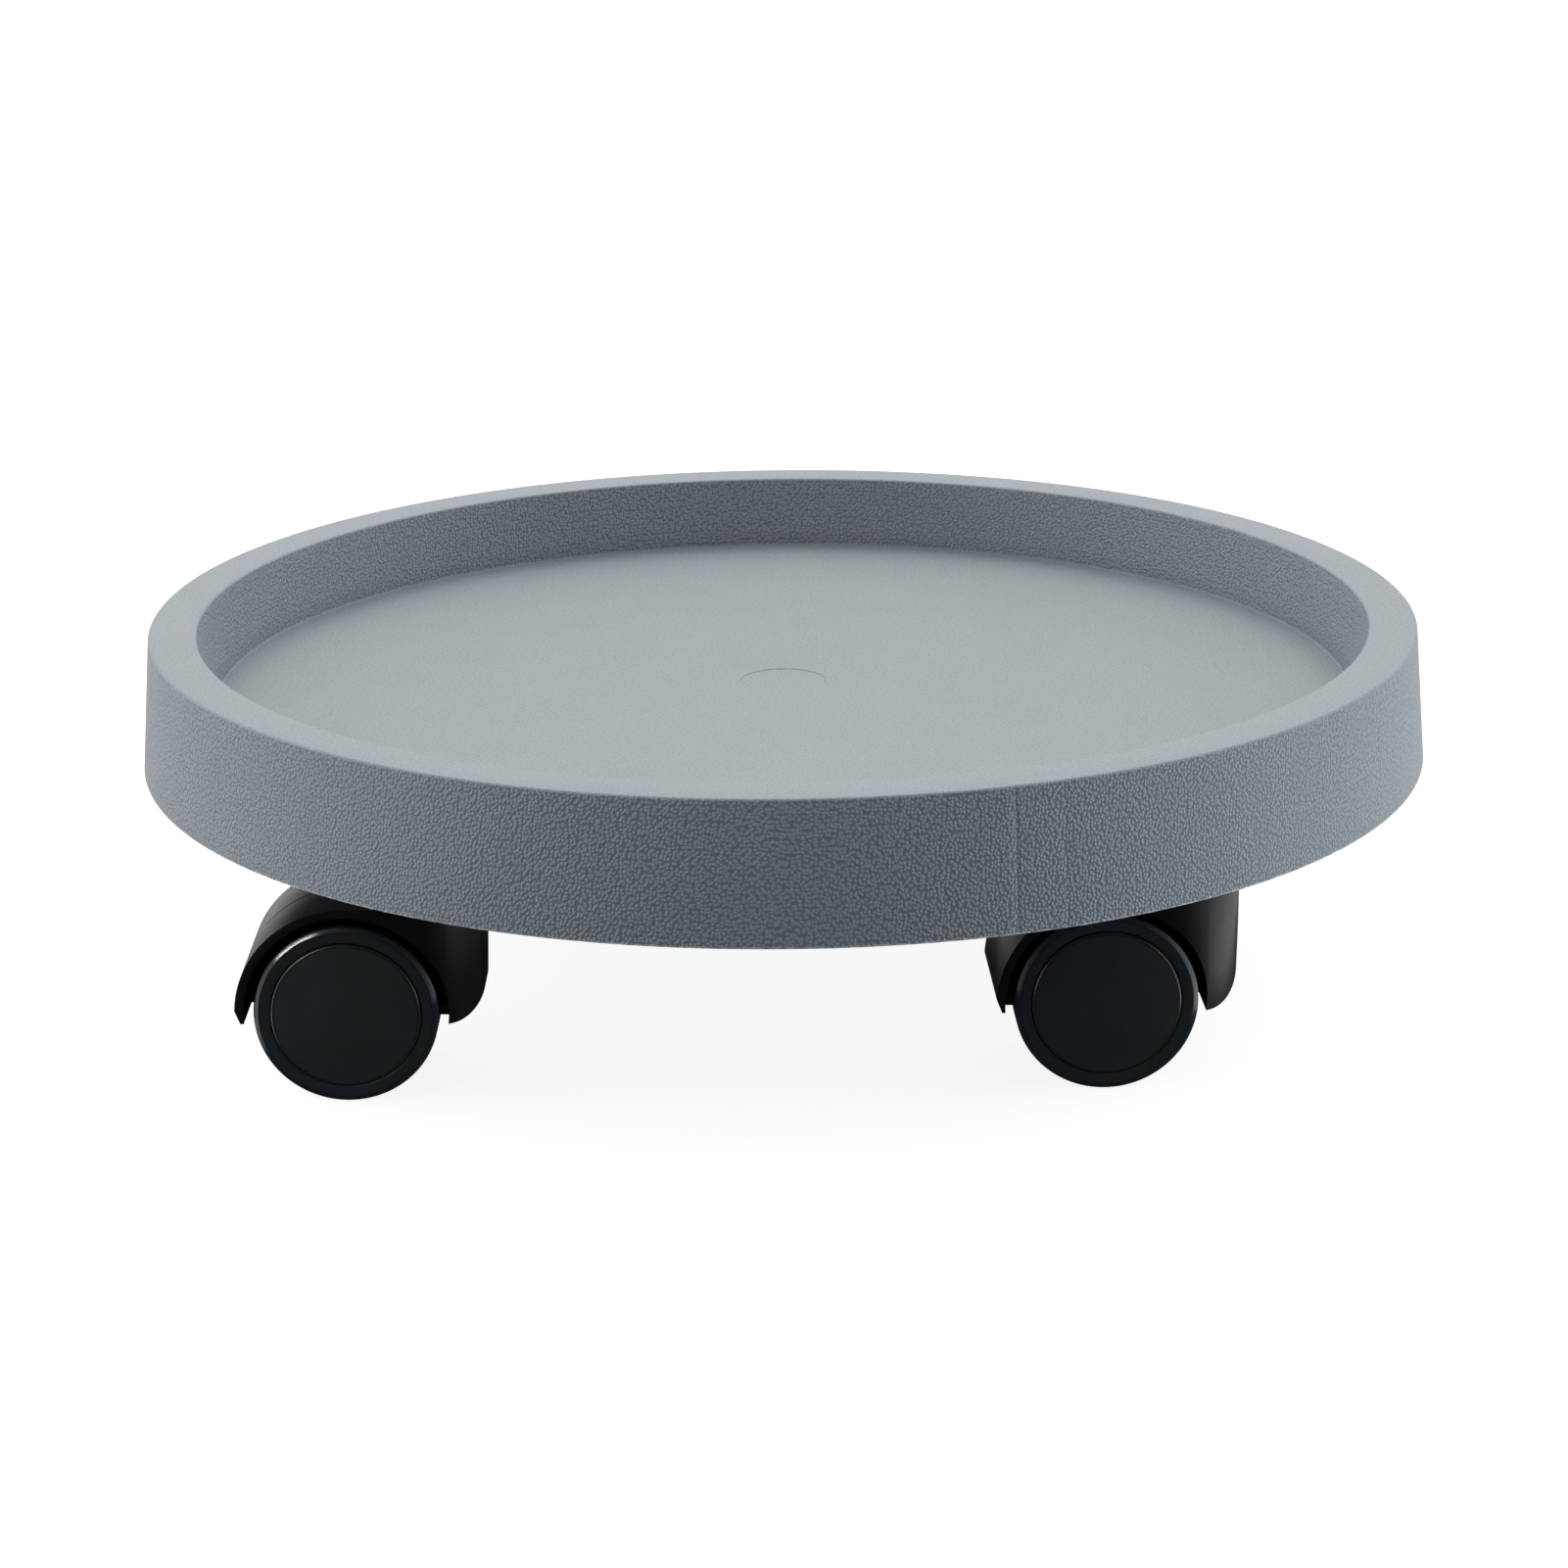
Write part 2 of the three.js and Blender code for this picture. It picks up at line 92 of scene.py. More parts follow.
# Castor.
WHEEL_RADIUS = 20
AXLE_HEIGHT = WHEEL_RADIUS
TRAIL = 14.9
AXLE_SPOT = (-TRAIL, AXLE_HEIGHT)
WHEEL_INNER_FACE = 6.3
WHEEL_OUTER_FACE = 15.1
WHEEL_HUB_RADIUS = 5
WHEEL_HUB_END = 12.3
WHEEL_WEB_INNER = 9
WHEEL_WEB_OUTER = 10.8
WHEEL_SIDES = 128
WHEEL_EDGE_ROUND = 0.25
WHEEL_INSIDE_ROUND = 0.8
WHEEL_SPOKES = 8
SPOKE_HALF_THICKNESS = 0.6
SPOKE_EDGE_ROUND = 0.2
SHOULDER_WIDTH = 1.15
SHOULDER_DEPTH = 0.65
SHOULDER_TREAD_ROUND = 0.6
SHOULDER_FACE_ROUND = 0.7
CAP_SEAT_RADIUS = 16.4
CAP_OUTER_FACE = 15.6
CAP_THICKNESS = 1.3
CAP_LIP_WIDTH = 1.8
FIT_GAP = 0.3
CAP_GAP = 0.15
AXLE_RADIUS = 2.5
AXLE_HALF_LENGTH = 12.8
AXLE_EDGE_ROUND = 0.3
RUNNING_CLEARANCE = 0.15
HOOD_RADIUS = 24
HOOD_WELL_RADIUS = 22.1
HOOD_HALF_WIDTH = 15.5
TIP_CUT_HEIGHT = 21.3
TIP_HEIGHT = 18.3
TIP_CUT_DEPTH = 1.2
HOOD_EDGE_ROUND = 0.45
NOSE_BOTTOM = 17
NOSE_REACH = 15.4
NOSE_ROUND_START = -2.5
NOSE_DRAFT = 0.7
NOSE_CORNER_RADIUS = 6.8
NOSE_TOP_FILLET = 3
NOSE_WALL = 2.2
WEB_HALF_THICKNESS = 2
WEB_BOTTOM = 15
# Left, low, right and high of an upright slab that is larger than the hood. The hood isn't
# hollowed inside the slab, which leaves the web.
WEB_SLAB = (-60, -10, 40, 60)
STEM_HUB_RADIUS = 5.7
STEM_HUB_BOTTOM = 24
AXLE_BOSS_RADIUS = 5
AXLE_BOSS_END = 5.9
TURRET_RADIUS = 9
TURRET_HEIGHT = 2
CROWN_GROOVE_HALF_WIDTH = 0.3
CROWN_GROOVE_DEPTH = 0.6
CROWN_GROOVE_START = 88
CROWN_GROOVE_END = 140
CROWN_GROOVE_STEPS = 40
CROWN_STEPS = 56
NOSE_TOP_STEPS = 10
NOSE_CORNER_STEPS = 20
NOSE_PLAN_STEPS = 56
STEM_PIN_RADIUS = 3.5
STEM_SHANK_RADIUS = 4
STEM_COLLAR_RADIUS = 7
STEM_COLLAR_THICKNESS = 1.5
STEM_BOTTOM = 27.5
STEM_TOP = 62.2
STEM_TIP_TAPER = 0.8
GRIP_GROOVE_RADIUS = 3.2
GRIP_GROOVE_BOTTOM = 55.9
GRIP_RING_HEIGHT = 3.4
GRIP_RING_OUTER_RADIUS = 4.5
GRIP_RING_SLIT_DEGREES = 36
GRIP_RING_EDGE_ROUND = 0.12
GRIP_RING_STEPS = 48
WASHER_THICKNESS = 1
SLEEVE_BORE_RADIUS = 4.8
SLEEVE_FLANGE_RADIUS = 8.5
SLEEVE_FLANGE_THICKNESS = 1.2
ROUND_SIDES = 64
ARC_STEPS = 6

# Heights that follow.
SKIRT_BOTTOM = TOTAL_HEIGHT - SKIRT_HEIGHT
FLOOR_TOP = TOTAL_HEIGHT - FLOOR_DEPTH
FLOOR_UNDERSIDE = FLOOR_TOP - TRAY_WALL
RIM_UNDERSIDE = TOTAL_HEIGHT - TRAY_WALL
HOOD_TOP = AXLE_HEIGHT + HOOD_RADIUS
TURRET_TOP = HOOD_TOP + TURRET_HEIGHT
WASHER_BOTTOM = TURRET_TOP + FIT_GAP
COLLAR_BOTTOM = WASHER_BOTTOM + WASHER_THICKNESS + FIT_GAP
COLLAR_TOP = COLLAR_BOTTOM + STEM_COLLAR_THICKNESS


# ---------------------------------------------------------------- camera, light and stage

# The camera's place in metres, its angles in degrees, and its lens and sensor in millimetres.
CAMERA_DISTANCE = 0.8921
CAMERA_ABOVE_RIM = 0.2364
CAMERA_PITCH = 17.393
CAMERA_ROLL = -0.54
CAMERA_LENS = 90.07
CAMERA_SENSOR = 36
# Lamps: place, target and size in metres, power in watts, roll in degrees.
OVERHEAD_LAMP = {"place": (0, 0.5, 1.4), "target": (0, 0, 0.06), "size": (1.2, 0.8), "watts": 1.5}
EDGE_LAMP = {"place": (-1.05, -0.75, 0.70), "target": (0, 0, 0.04), "size": (0.15, 0.15), "watts": 0.6}
STRIP_LAMP = {
    "place": (-0.886, -0.957, 0.569),
    "target": (-0.106, -0.0985, 0.036),
    "size": (0.64, 0.05),
    "watts": 6,
    "roll": 45,
}
# How bright the surround gets towards each direction, as (start, end, strength). A part rises
# smoothly from nothing where the direction's X, Y or Z is at the start to its strength at the end.
OVERHEAD_PARTS = ((0.3, 0.9, 0.68),)
OVERHEAD_REAR_PART = (0.3, 0.9, 1.75)
REAR_HALF = (-0.25, 0.55, 1)
SIDE_PARTS = ((0.7, 0.98, 1.6), (0.4, 0.95, 0.6))
BACK_PARTS = ((0.72, 0.97, 0.45), (0.1, 0.8, 0.78))
SURROUND_LEAST = 0.01
# Light that comes up from below the horizon, on the side of +X (1) or -X (-1).
BELOW_HORIZON = (0.0, 0.45)
BOUNCE_PARTS = ((1, (0.2, 1.0, 0.95)), (1, (0.85, 1.0, 2.4)), (-1, (0.6, 1.0, 0.7)))
# The surround's tint at the level of the tray, and above and behind it.
LEVEL_TINT = (0.93, 0.98, 1.05)
OVERHEAD_TINT = (0.995, 0.96, 0.92)
OVERHEAD_TINT_RISE = (0.1, 0.8)
REAR_TINT_RISE = (0.0, 0.6)
# Stage: the floor's half width and the backdrop's radius in metres, the flag's in millimetres.
FLOOR_HALF_WIDTH = 12
FLOOR_GREY = 0.35
FLOOR_GLOW = 0.87
BACKDROP_RADIUS = 11
BACKDROP_GLOW = 1.02
FLAG_RADIUS = 165
FLAG_GREY = 0.02
FLAG_SIDES = 48


def make_camera():
    """A long lens looking along +Y and down at the tray, rolled very slightly."""
    data = bpy.data.cameras.new("camera")
    data.sensor_width = CAMERA_SENSOR
    data.lens = CAMERA_LENS
    camera = bpy.data.objects.new("camera", data)
    bpy.context.scene.collection.objects.link(camera)
    camera.location = (0, -CAMERA_DISTANCE, CAMERA_ABOVE_RIM + TOTAL_HEIGHT * MM)
    tilt = Matrix.Rotation(math.radians(90 - CAMERA_PITCH), 4, "X")
    roll = Matrix.Rotation(math.radians(CAMERA_ROLL), 4, "Z")
    camera.rotation_euler = (tilt @ roll).to_euler()
    bpy.context.scene.camera = camera


def area_lamp(name, place, target, size, watts, roll=0):
    """A soft rectangular lamp that faces a target point, rolled about its middle."""
    data = bpy.data.lights.new(name, "AREA")
    data.shape = "RECTANGLE"
    data.size, data.size_y = size
    data.energy = watts
    lamp = bpy.data.objects.new(name, data)
    bpy.context.scene.collection.objects.link(lamp)
    lamp.location = place
    facing = (Vector(target) - Vector(place)).to_track_quat("-Z", "Y").to_matrix().to_4x4()
    lamp.rotation_euler = (facing @ Matrix.Rotation(math.radians(roll), 4, "Z")).to_euler()
    return lamp


def make_lamps():
    """A small lamp overhead, one from the left, and a strip that only gloss sees, for the wheels."""
    area_lamp("overhead", **OVERHEAD_LAMP)
    area_lamp("edge_light", **EDGE_LAMP)
    area_lamp("strip", **STRIP_LAMP).visible_diffuse = False


def math_node(tree, operation, *values):
    """A Math node whose inputs are numbers or other nodes' outputs."""
    made = tree.nodes.new("ShaderNodeMath")
    made.operation = operation
    for socket, value in zip(made.inputs, values):
        if isinstance(value, (int, float)):
            socket.default_value = value
        else:
            tree.links.new(value, socket)
    return made.outputs[0]


def mix_colours(tree, share, first, second):
    """A colour between two colours, or sockets, by a share from 0 to 1."""
    made = tree.nodes.new("ShaderNodeMix")
    made.data_type = "RGBA"
    tree.links.new(share, made.inputs[0])
    for socket, value in ((MIX_COLOUR_A, first), (MIX_COLOUR_B, second)):
        if isinstance(value, tuple):
            made.inputs[socket].default_value = (*value, 1)
        else:
            tree.links.new(value, made.inputs[socket])
    return made.outputs[MIX_COLOUR_RESULT]


def fade(tree, value, start, end, strength=1.0):
    """Rises smoothly from nothing at start to the strength at end."""
    made = tree.nodes.new("ShaderNodeMapRange")
    made.interpolation_type = "SMOOTHSTEP"
    tree.links.new(value, made.inputs["Value"])
    for key, number in (("From Min", start), ("From Max", end), ("To Min", 0), ("To Max", strength)):
        made.inputs[key].default_value = number
    return made.outputs["Result"]


def surround_strength(tree, direction):
    """How bright the surround is towards a direction, from the parts above."""
    rightwards, backwards, upwards = direction
    sideways = math_node(tree, "ABSOLUTE", rightwards)
    overhead_rear = fade(tree, upwards, *OVERHEAD_REAR_PART)
    strength = math_node(tree, "MULTIPLY", overhead_rear, fade(tree, backwards, *REAR_HALF))
    for value, parts in ((upwards, OVERHEAD_PARTS), (sideways, SIDE_PARTS), (backwards, BACK_PARTS)):
        for part in parts:
            strength = math_node(tree, "ADD", strength, fade(tree, value, *part))
    below = fade(tree, math_node(tree, "MULTIPLY", upwards, -1), *BELOW_HORIZON)
    for sign, part in BOUNCE_PARTS:
        bounce = fade(tree, math_node(tree, "MULTIPLY", rightwards, sign), *part)
        strength = math_node(tree, "ADD", strength, math_node(tree, "MULTIPLY", bounce, below))
    return math_node(tree, "ADD", strength, SURROUND_LEAST)


def make_surround():
    """A soft surround, bright above, behind and at both sides and darker towards the camera."""
    world = bpy.data.worlds.new("surround")
    bpy.context.scene.world = world
    world.use_nodes = True
    tree = world.node_tree
    background = tree.nodes["Background"]
    split = tree.nodes.new("ShaderNodeSeparateXYZ")
    tree.links.new(tree.nodes.new("ShaderNodeTexCoord").outputs["Generated"], split.inputs[0])
    direction = [split.outputs[axis] for axis in "XYZ"]
    above = fade(tree, direction[2], *OVERHEAD_TINT_RISE)
    behind = fade(tree, direction[1], *REAR_TINT_RISE)
    tint = mix_colours(tree, math_node(tree, "MAXIMUM", above, behind), LEVEL_TINT, OVERHEAD_TINT)
    tree.links.new(tint, background.inputs["Color"])
    tree.links.new(surround_strength(tree, direction), background.inputs["Strength"])


def matt_material(name, grey, glow=0):
    """A grey with no gloss, which may also glow white."""
    material = bpy.data.materials.new(name)
    material.use_nodes = True
    inputs = material.node_tree.nodes["Principled BSDF"].inputs
    inputs["Base Color"].default_value = (grey, grey, grey, 1)
    inputs["Roughness"].default_value = 1
    inputs["Specular IOR Level"].default_value = 0
    inputs["Emission Color"].default_value = (1, 1, 1, 1)
    inputs["Emission Strength"].default_value = glow
    return material


def stage_object(name, mesh, material, unseen_by):
    """A part of the stage that some kinds of ray don't see."""
    mesh.materials.append(material)
    made = bpy.data.objects.new(name, mesh)
    bpy.context.scene.collection.objects.link(made)
    for kind in unseen_by:
        setattr(made, "visible_" + kind, False)
    return made


def clear_from_below(material):
    """Lets a level face be looked through from underneath, so that the underside can be seen."""
    tree = material.node_tree
    mix = tree.nodes.new("ShaderNodeMixShader")
    below = tree.nodes.new("ShaderNodeNewGeometry").outputs["Backfacing"]
    clear = tree.nodes.new("ShaderNodeBsdfTransparent")
    tree.links.new(below, mix.inputs[0])
    tree.links.new(tree.nodes["Principled BSDF"].outputs["BSDF"], mix.inputs[1])
    tree.links.new(clear.outputs["BSDF"], mix.inputs[2])
    tree.links.new(mix.outputs["Shader"], tree.nodes["Material Output"].inputs["Surface"])


def make_floor():
    """A wide pale floor that takes soft shadows but doesn't light the object from below."""
    half = FLOOR_HALF_WIDTH
    mesh = bpy.data.meshes.new("floor")
    corners = [(-half, -half, 0), (half, -half, 0), (half, half, 0), (-half, half, 0)]
    mesh.from_pydata(corners, [], [(0, 1, 2, 3)])
    material = matt_material("pale_floor", FLOOR_GREY, FLOOR_GLOW)
    clear_from_below(material)
    floor = stage_object("floor", mesh, material, ("diffuse", "glossy"))


def make_backdrop():
    """A white ball round the whole stage that only the camera sees directly."""
    mesh = bpy.data.meshes.new("backdrop")
    shell = bmesh.new()
    bmesh.ops.create_uvsphere(shell, u_segments=64, v_segments=32, radius=BACKDROP_RADIUS)
    shell.to_mesh(mesh)
    shell.free()
    material = matt_material("backdrop_white", 0, BACKDROP_GLOW)
    backdrop = stage_object("backdrop", mesh, material, ("diffuse", "glossy", "transmission", "shadow"))


def make_flag():
    """A black card just below the ground that only gloss sees, for the shade under the tray."""
    mesh = bpy.data.meshes.new("flag")
    corners = [(x * MM, y * MM, -MM) for x, y in circle(FLAG_RADIUS, FLAG_SIDES)]
    mesh.from_pydata(corners, [], [tuple(range(FLAG_SIDES))])
    material = matt_material("flag_black", FLAG_GREY)
    flag = stage_object("flag", mesh, material, ("camera", "diffuse", "shadow"))


# ---------------------------------------------------------------- outlines and meshes


def rounded(corners, closed):
    """A polyline's points with each (x, y, radius) corner turned into an arc of that radius."""
    count = len(corners)
    points = []
    for index, (x, y, radius) in enumerate(corners):
        corner = Vector((x, y))
        at_end = not closed and index in (0, count - 1)
        if radius == 0 or at_end:
            points.append(corner)
            continue
        before = Vector(corners[index - 1][:2]) - corner
        after = Vector(corners[(index + 1) % count][:2]) - corner
        half_angle = before.angle(after) / 2
        reach = radius / math.tan(half_angle)
        start = corner + before.normalized() * reach
        end = corner + after.normalized() * reach
        inwards = (before.normalized() + after.normalized()).normalized()
        centre = corner + inwards * (radius / math.sin(half_angle))
        first, last = start - centre, end - centre
        turn = first.angle_signed(last)
        for step in range(ARC_STEPS + 1):
            points.append(centre + Matrix.Rotation(-turn * step / ARC_STEPS, 2) @ first)
    return points


def object_from(name, mesh_builder):
    """The bmesh as an object in metres, with its faces pointing outwards."""
    bmesh.ops.remove_doubles(mesh_builder, verts=mesh_builder.verts, dist=MERGE_DISTANCE)
    bmesh.ops.recalc_face_normals(mesh_builder, faces=mesh_builder.faces)
    mesh = bpy.data.meshes.new(name)
    mesh_builder.to_mesh(mesh)
    mesh_builder.free()
    mesh.transform(Matrix.Scale(MM, 4))
    made = bpy.data.objects.new(name, mesh)
    bpy.context.scene.collection.objects.link(made)
    return made


def smooth(made):
    """Smooth shading that keeps the sharp corners."""
    made.data.shade_smooth()
    made.data.set_sharp_from_angle(angle=SMOOTH_ANGLE)
    return made


def even_angles(sides):
    return [2 * math.pi * side / sides for side in range(sides)]


def revolve(name, outline, angles, radius_change=None):
    """An outline of (radius, height) points turned round Z. Points on the axis are poles."""
    builder = bmesh.new()
    columns = []
    for angle in angles:
        column = []
        for radius, height in outline:
            reach = radius + (radius_change(angle, radius, height) if radius_change else 0)
            column.append(builder.verts.new((reach * math.cos(angle), reach * math.sin(angle), height)))
        columns.append(column)
    for index, column in enumerate(columns):
        following = columns[(index + 1) % len(columns)]
        for row in range(len(outline) - 1):
            builder.faces.new((column[row], following[row], following[row + 1], column[row + 1]))
    return object_from(name, builder)


def closed_ring(outline):
    """An outline that ends where it starts, for a shape with a hole through it."""
    return list(outline) + [outline[0]]


def prism(name, points, low, high, matrix=None):
    """A flat outline in X and Y given a height from low to high, then placed by a matrix."""
    builder = bmesh.new()
    bottom = [builder.verts.new((x, y, low)) for x, y in points]
    top = [builder.verts.new((x, y, high)) for x, y in points]
    builder.faces.new(bottom)
    builder.faces.new(top)
    for index in range(len(points)):
        following = (index + 1) % len(points)
        builder.faces.new((bottom[index], bottom[following], top[following], top[index]))
    if matrix:
        builder.transform(matrix)
    return object_from(name, builder)


def arc(centre, radius, start, end, steps):
    """Points on an arc round a centre, its first and last included, between two angles."""
    angles = [start + (end - start) * step / steps for step in range(steps + 1)]
    return [(centre[0] + radius * math.cos(a), centre[1] + radius * math.sin(a)) for a in angles]


def arc_band(centre, outer, inner, start, end, steps):
    """The outline of a curved strip between two radii, from one angle to another, in degrees."""
    start, end = math.radians(start), math.radians(end)
    return arc(centre, outer, start, end, steps) + arc(centre, inner, start, end, steps)[::-1]


def rectangle(left, low, right, high):
    return [(left, low), (right, low), (right, high), (left, high)]


def circle(radius, sides, centre=(0, 0)):
    x, y = centre
    return [(x + radius * math.cos(a), y + radius * math.sin(a)) for a in even_angles(sides)]


# Turns an outline drawn in X and Y so that its Y becomes height and its thickness runs along Y.
UPRIGHT = Matrix.Rotation(math.radians(90), 4, "X")


def upright_prism(name, points, half_thickness):
    return prism(name, points, -half_thickness, half_thickness, UPRIGHT)


def axle_cylinder(name, radius, half_length, sides=ROUND_SIDES):
    """A round bar along the axle's line."""
    return upright_prism(name, circle(radius, sides, AXLE_SPOT), half_length)


def bake_modifiers(made):
    """Applies an object's modifiers to its mesh."""
    depsgraph = bpy.context.evaluated_depsgraph_get()
    baked = bpy.data.meshes.new_from_object(made.evaluated_get(depsgraph))
    made.modifiers.clear()
    made.data = baked
    return made


def combine(made, operation, *tools):
    """Joins, cuts or intersects an object with others, which are used up."""
    for tool in tools:
        modifier = made.modifiers.new("combine", "BOOLEAN")
        modifier.operation = operation
        modifier.solver = "EXACT"
        modifier.object = tool
        bake_modifiers(made)
        bpy.data.objects.remove(tool)
    return made


def round_edges(made, width, angle=30, segments=3):
    """Rounds every edge that is sharper than the angle, in degrees."""
    modifier = made.modifiers.new("round", "BEVEL")
    modifier.width = width * MM
    modifier.segments = segments
    modifier.limit_method = "ANGLE"
    modifier.angle_limit = math.radians(angle)
    modifier.miter_outer = "MITER_ARC"
    return bake_modifiers(made)


# ---------------------------------------------------------------- materials

# Tray plastic. Depths, radii and reaches are in millimetres.
TRAY_DARK = (0.234, 0.276, 0.305)
TRAY_LIGHT = (0.242, 0.283, 0.312)
TRAY_ROUGHNESS = (0.53, 0.58)
GRAIN_CELLS_PER_METRE = 1210
GRAIN_DEPTH = 0.16
GRAIN_STIR = 0.5
GRAIN_STIRS_PER_METRE = 0.7 * GRAIN_CELLS_PER_METRE
GRAIN_SMOOTHNESS = 0.25
GRAIN_RANDOMNESS = 0.8
FINE_GRAIN_DEPTH = 0.03
# The grain is weaker on level faces. It fades as a face's normal turns upwards past these shares.
LEVEL_FADE = (0.25, 0.6)
LEVEL_GRAIN = 0.36
# Painted shade in the grain's valleys, where little light reaches: its colour and its largest share.
VALLEY_SHADE_COLOUR = (0.09, 0.11, 0.13)
VALLEY_SHADE_SHARE = 0.66
# Painted shade where the floor meets the recess's wall: its colour, the radii in which it grows, and its
# largest share.
CORNER_SHADE_COLOUR = (0.10, 0.12, 0.14)
CORNER_SHADE_START_RADIUS = 124
CORNER_SHADE_END_RADIUS = 134
CORNER_SHADE_SHARE = 0.36
# A painted highlight along the skirt's lower edge, pale like the floor's light that its rounding catches.
EDGE_HIGHLIGHT_COLOUR = (0.66, 0.68, 0.68)
# Black plastics. Grain scales are per metre, and grain depths and worn radii in millimetres.
HOUSING_LOOK = {
    "dark": (0.0050, 0.0062, 0.0072),
    "light": (0.0068, 0.0080, 0.0092),
    "roughness_range": (0.33, 0.45),
    "grain_scale": 1500,
    "grain_depth": 0.012,
    "specular": 0.17,
}
WHEEL_LOOK = {
    "dark": (0.0190, 0.0250, 0.0280),
    "light": (0.0210, 0.0274, 0.0306),
    "roughness_range": (0.34, 0.46),
    "grain_scale": 1400,
    "grain_depth": 0.008,
    "specular": 0.4,
    "worn_from": 18.4,
}
CAP_LOOK = {
    "dark": (0.0190, 0.0248, 0.0278),
    "light": (0.0208, 0.0270, 0.0302),
    "roughness_range": (0.42, 0.54),
    "grain_scale": 2200,
    "grain_depth": 0.02,
    "specular": 0.4,
    "worn_from": 15.3,
}
# Wear fades in over this width, in millimetres, and leaves this share of the roughness.
WORN_FADE = 0.4
WORN_ROUGHNESS = 0.4
# Nylon and steel. Turning marks are drawn out round the part and packed close along its axis.
NYLON_DARK = (0.60, 0.58, 0.50)
NYLON_LIGHT = (0.70, 0.68, 0.61)
STEEL_DARK = (0.60, 0.61, 0.63)
STEEL_LIGHT = (0.72, 0.72, 0.71)
TURNING_MARK_STRETCH = (0.15, 0.15, 6)
INNER_PIECE_GRAIN_DEPTH = 0.02


class Nodes:
    """A material's node tree, with short calls for the nodes that the materials share."""

    def __init__(self, name):
        self.material = bpy.data.materials.new(name)
        self.material.use_nodes = True
        self.tree = self.material.node_tree
        self.shader = self.tree.nodes["Principled BSDF"]
        self.place = self.node("ShaderNodeTexCoord").outputs["Object"]

    def node(self, kind, **settings):
        made = self.tree.nodes.new(kind)
        for key, value in settings.items():
            setattr(made, key, value)
        return made

    def link(self, source, target):
        self.tree.links.new(source, target)

    def noise(self, scale, detail=2.0, roughness=0.5, place=None):
        made = self.node("ShaderNodeTexNoise")
        self.link(place or self.place, made.inputs["Vector"])
        made.inputs["Scale"].default_value = scale
        made.inputs["Detail"].default_value = detail
        made.inputs["Roughness"].default_value = roughness
        return made.outputs["Fac"]

    def cells(self, scale, smoothness, randomness, place):
        """How far each point is from the middle of its cell, on flat coordinates."""
        made = self.node("ShaderNodeTexVoronoi", feature="SMOOTH_F1", voronoi_dimensions="2D")
        self.link(place, made.inputs["Vector"])
        made.inputs["Scale"].default_value = scale
        made.inputs["Smoothness"].default_value = smoothness
        made.inputs["Randomness"].default_value = randomness
        return made.outputs["Distance"]

    def from_centre(self):
        """The distance from the piece's own Z axis, in metres."""
        x, y = self.parts(self.place)[:2]
        squares = self.math("ADD", self.math("MULTIPLY", x, x), self.math("MULTIPLY", y, y))
        return self.math("SQRT", squares)

    def unrolled(self, level):
        """Flat coordinates in metres: round the tray and up on walls, or plain on level faces."""
        x, y, z = self.parts(self.place)
        turn = self.math("ARCTAN2", x, self.math("MULTIPLY", y, -1))
        along = self.math("ADD", self.math("MULTIPLY", turn, BASE_RADIUS * MM), self.from_centre())
        joined = self.node("ShaderNodeCombineXYZ")
        for socket, on_wall, on_level in ((0, along, x), (1, z, y)):
            change = self.math("MULTIPLY", self.math("SUBTRACT", on_level, on_wall), level)
            self.link(self.math("ADD", on_wall, change), joined.inputs[socket])
        return joined.outputs[0]

    def parts(self, vector):
        split = self.node("ShaderNodeSeparateXYZ")
        self.link(vector, split.inputs[0])
        return split.outputs

    def wavy(self, place, scale, reach):
        """Coordinates pushed about by up to half the reach, in metres."""
        noise = self.node("ShaderNodeTexNoise")
        self.link(self.place, noise.inputs["Vector"])
        noise.inputs["Scale"].default_value = scale
        noise.inputs["Detail"].default_value = 1
        centred = self.node("ShaderNodeVectorMath", operation="SUBTRACT")
        self.link(noise.outputs["Color"], centred.inputs[0])
        centred.inputs[1].default_value = (0.5, 0.5, 0.5)
        shifted = self.node("ShaderNodeVectorMath", operation="MULTIPLY_ADD")
        self.link(centred.outputs[0], shifted.inputs[0])
        shifted.inputs[1].default_value = (reach, reach, reach)
        self.link(place, shifted.inputs[2])
        return shifted.outputs[0]

    def math(self, operation, *values):
        return math_node(self.tree, operation, *values)

    def spread(self, value, from_low, from_high, to_low, to_high):
        """A value's place between two numbers as the same place between two others, kept within them."""
        made = self.node("ShaderNodeMapRange")
        self.link(value, made.inputs["Value"])
        made.inputs["From Min"].default_value = from_low
        made.inputs["From Max"].default_value = from_high
        made.inputs["To Min"].default_value = to_low
        made.inputs["To Max"].default_value = to_high
        return made.outputs["Result"]

    def blend(self, share, first, second):
        return mix_colours(self.tree, share, first, second)

    def bump(self, height, distance, normal=None):
        made = self.node("ShaderNodeBump")
        made.inputs["Strength"].default_value = 1
        made.inputs["Distance"].default_value = distance
        self.link(height, made.inputs["Height"])
        if normal:
            self.link(normal, made.inputs["Normal"])
        return made.outputs["Normal"]

    def finish(self, colour, roughness, normal, metallic=0.0, specular=0.5):
        self.link(colour, self.shader.inputs["Base Color"])
        self.link(roughness, self.shader.inputs["Roughness"])
        self.link(normal, self.shader.inputs["Normal"])
        self.shader.inputs["Metallic"].default_value = metallic
        self.shader.inputs["Specular IOR Level"].default_value = specular
        return self.material


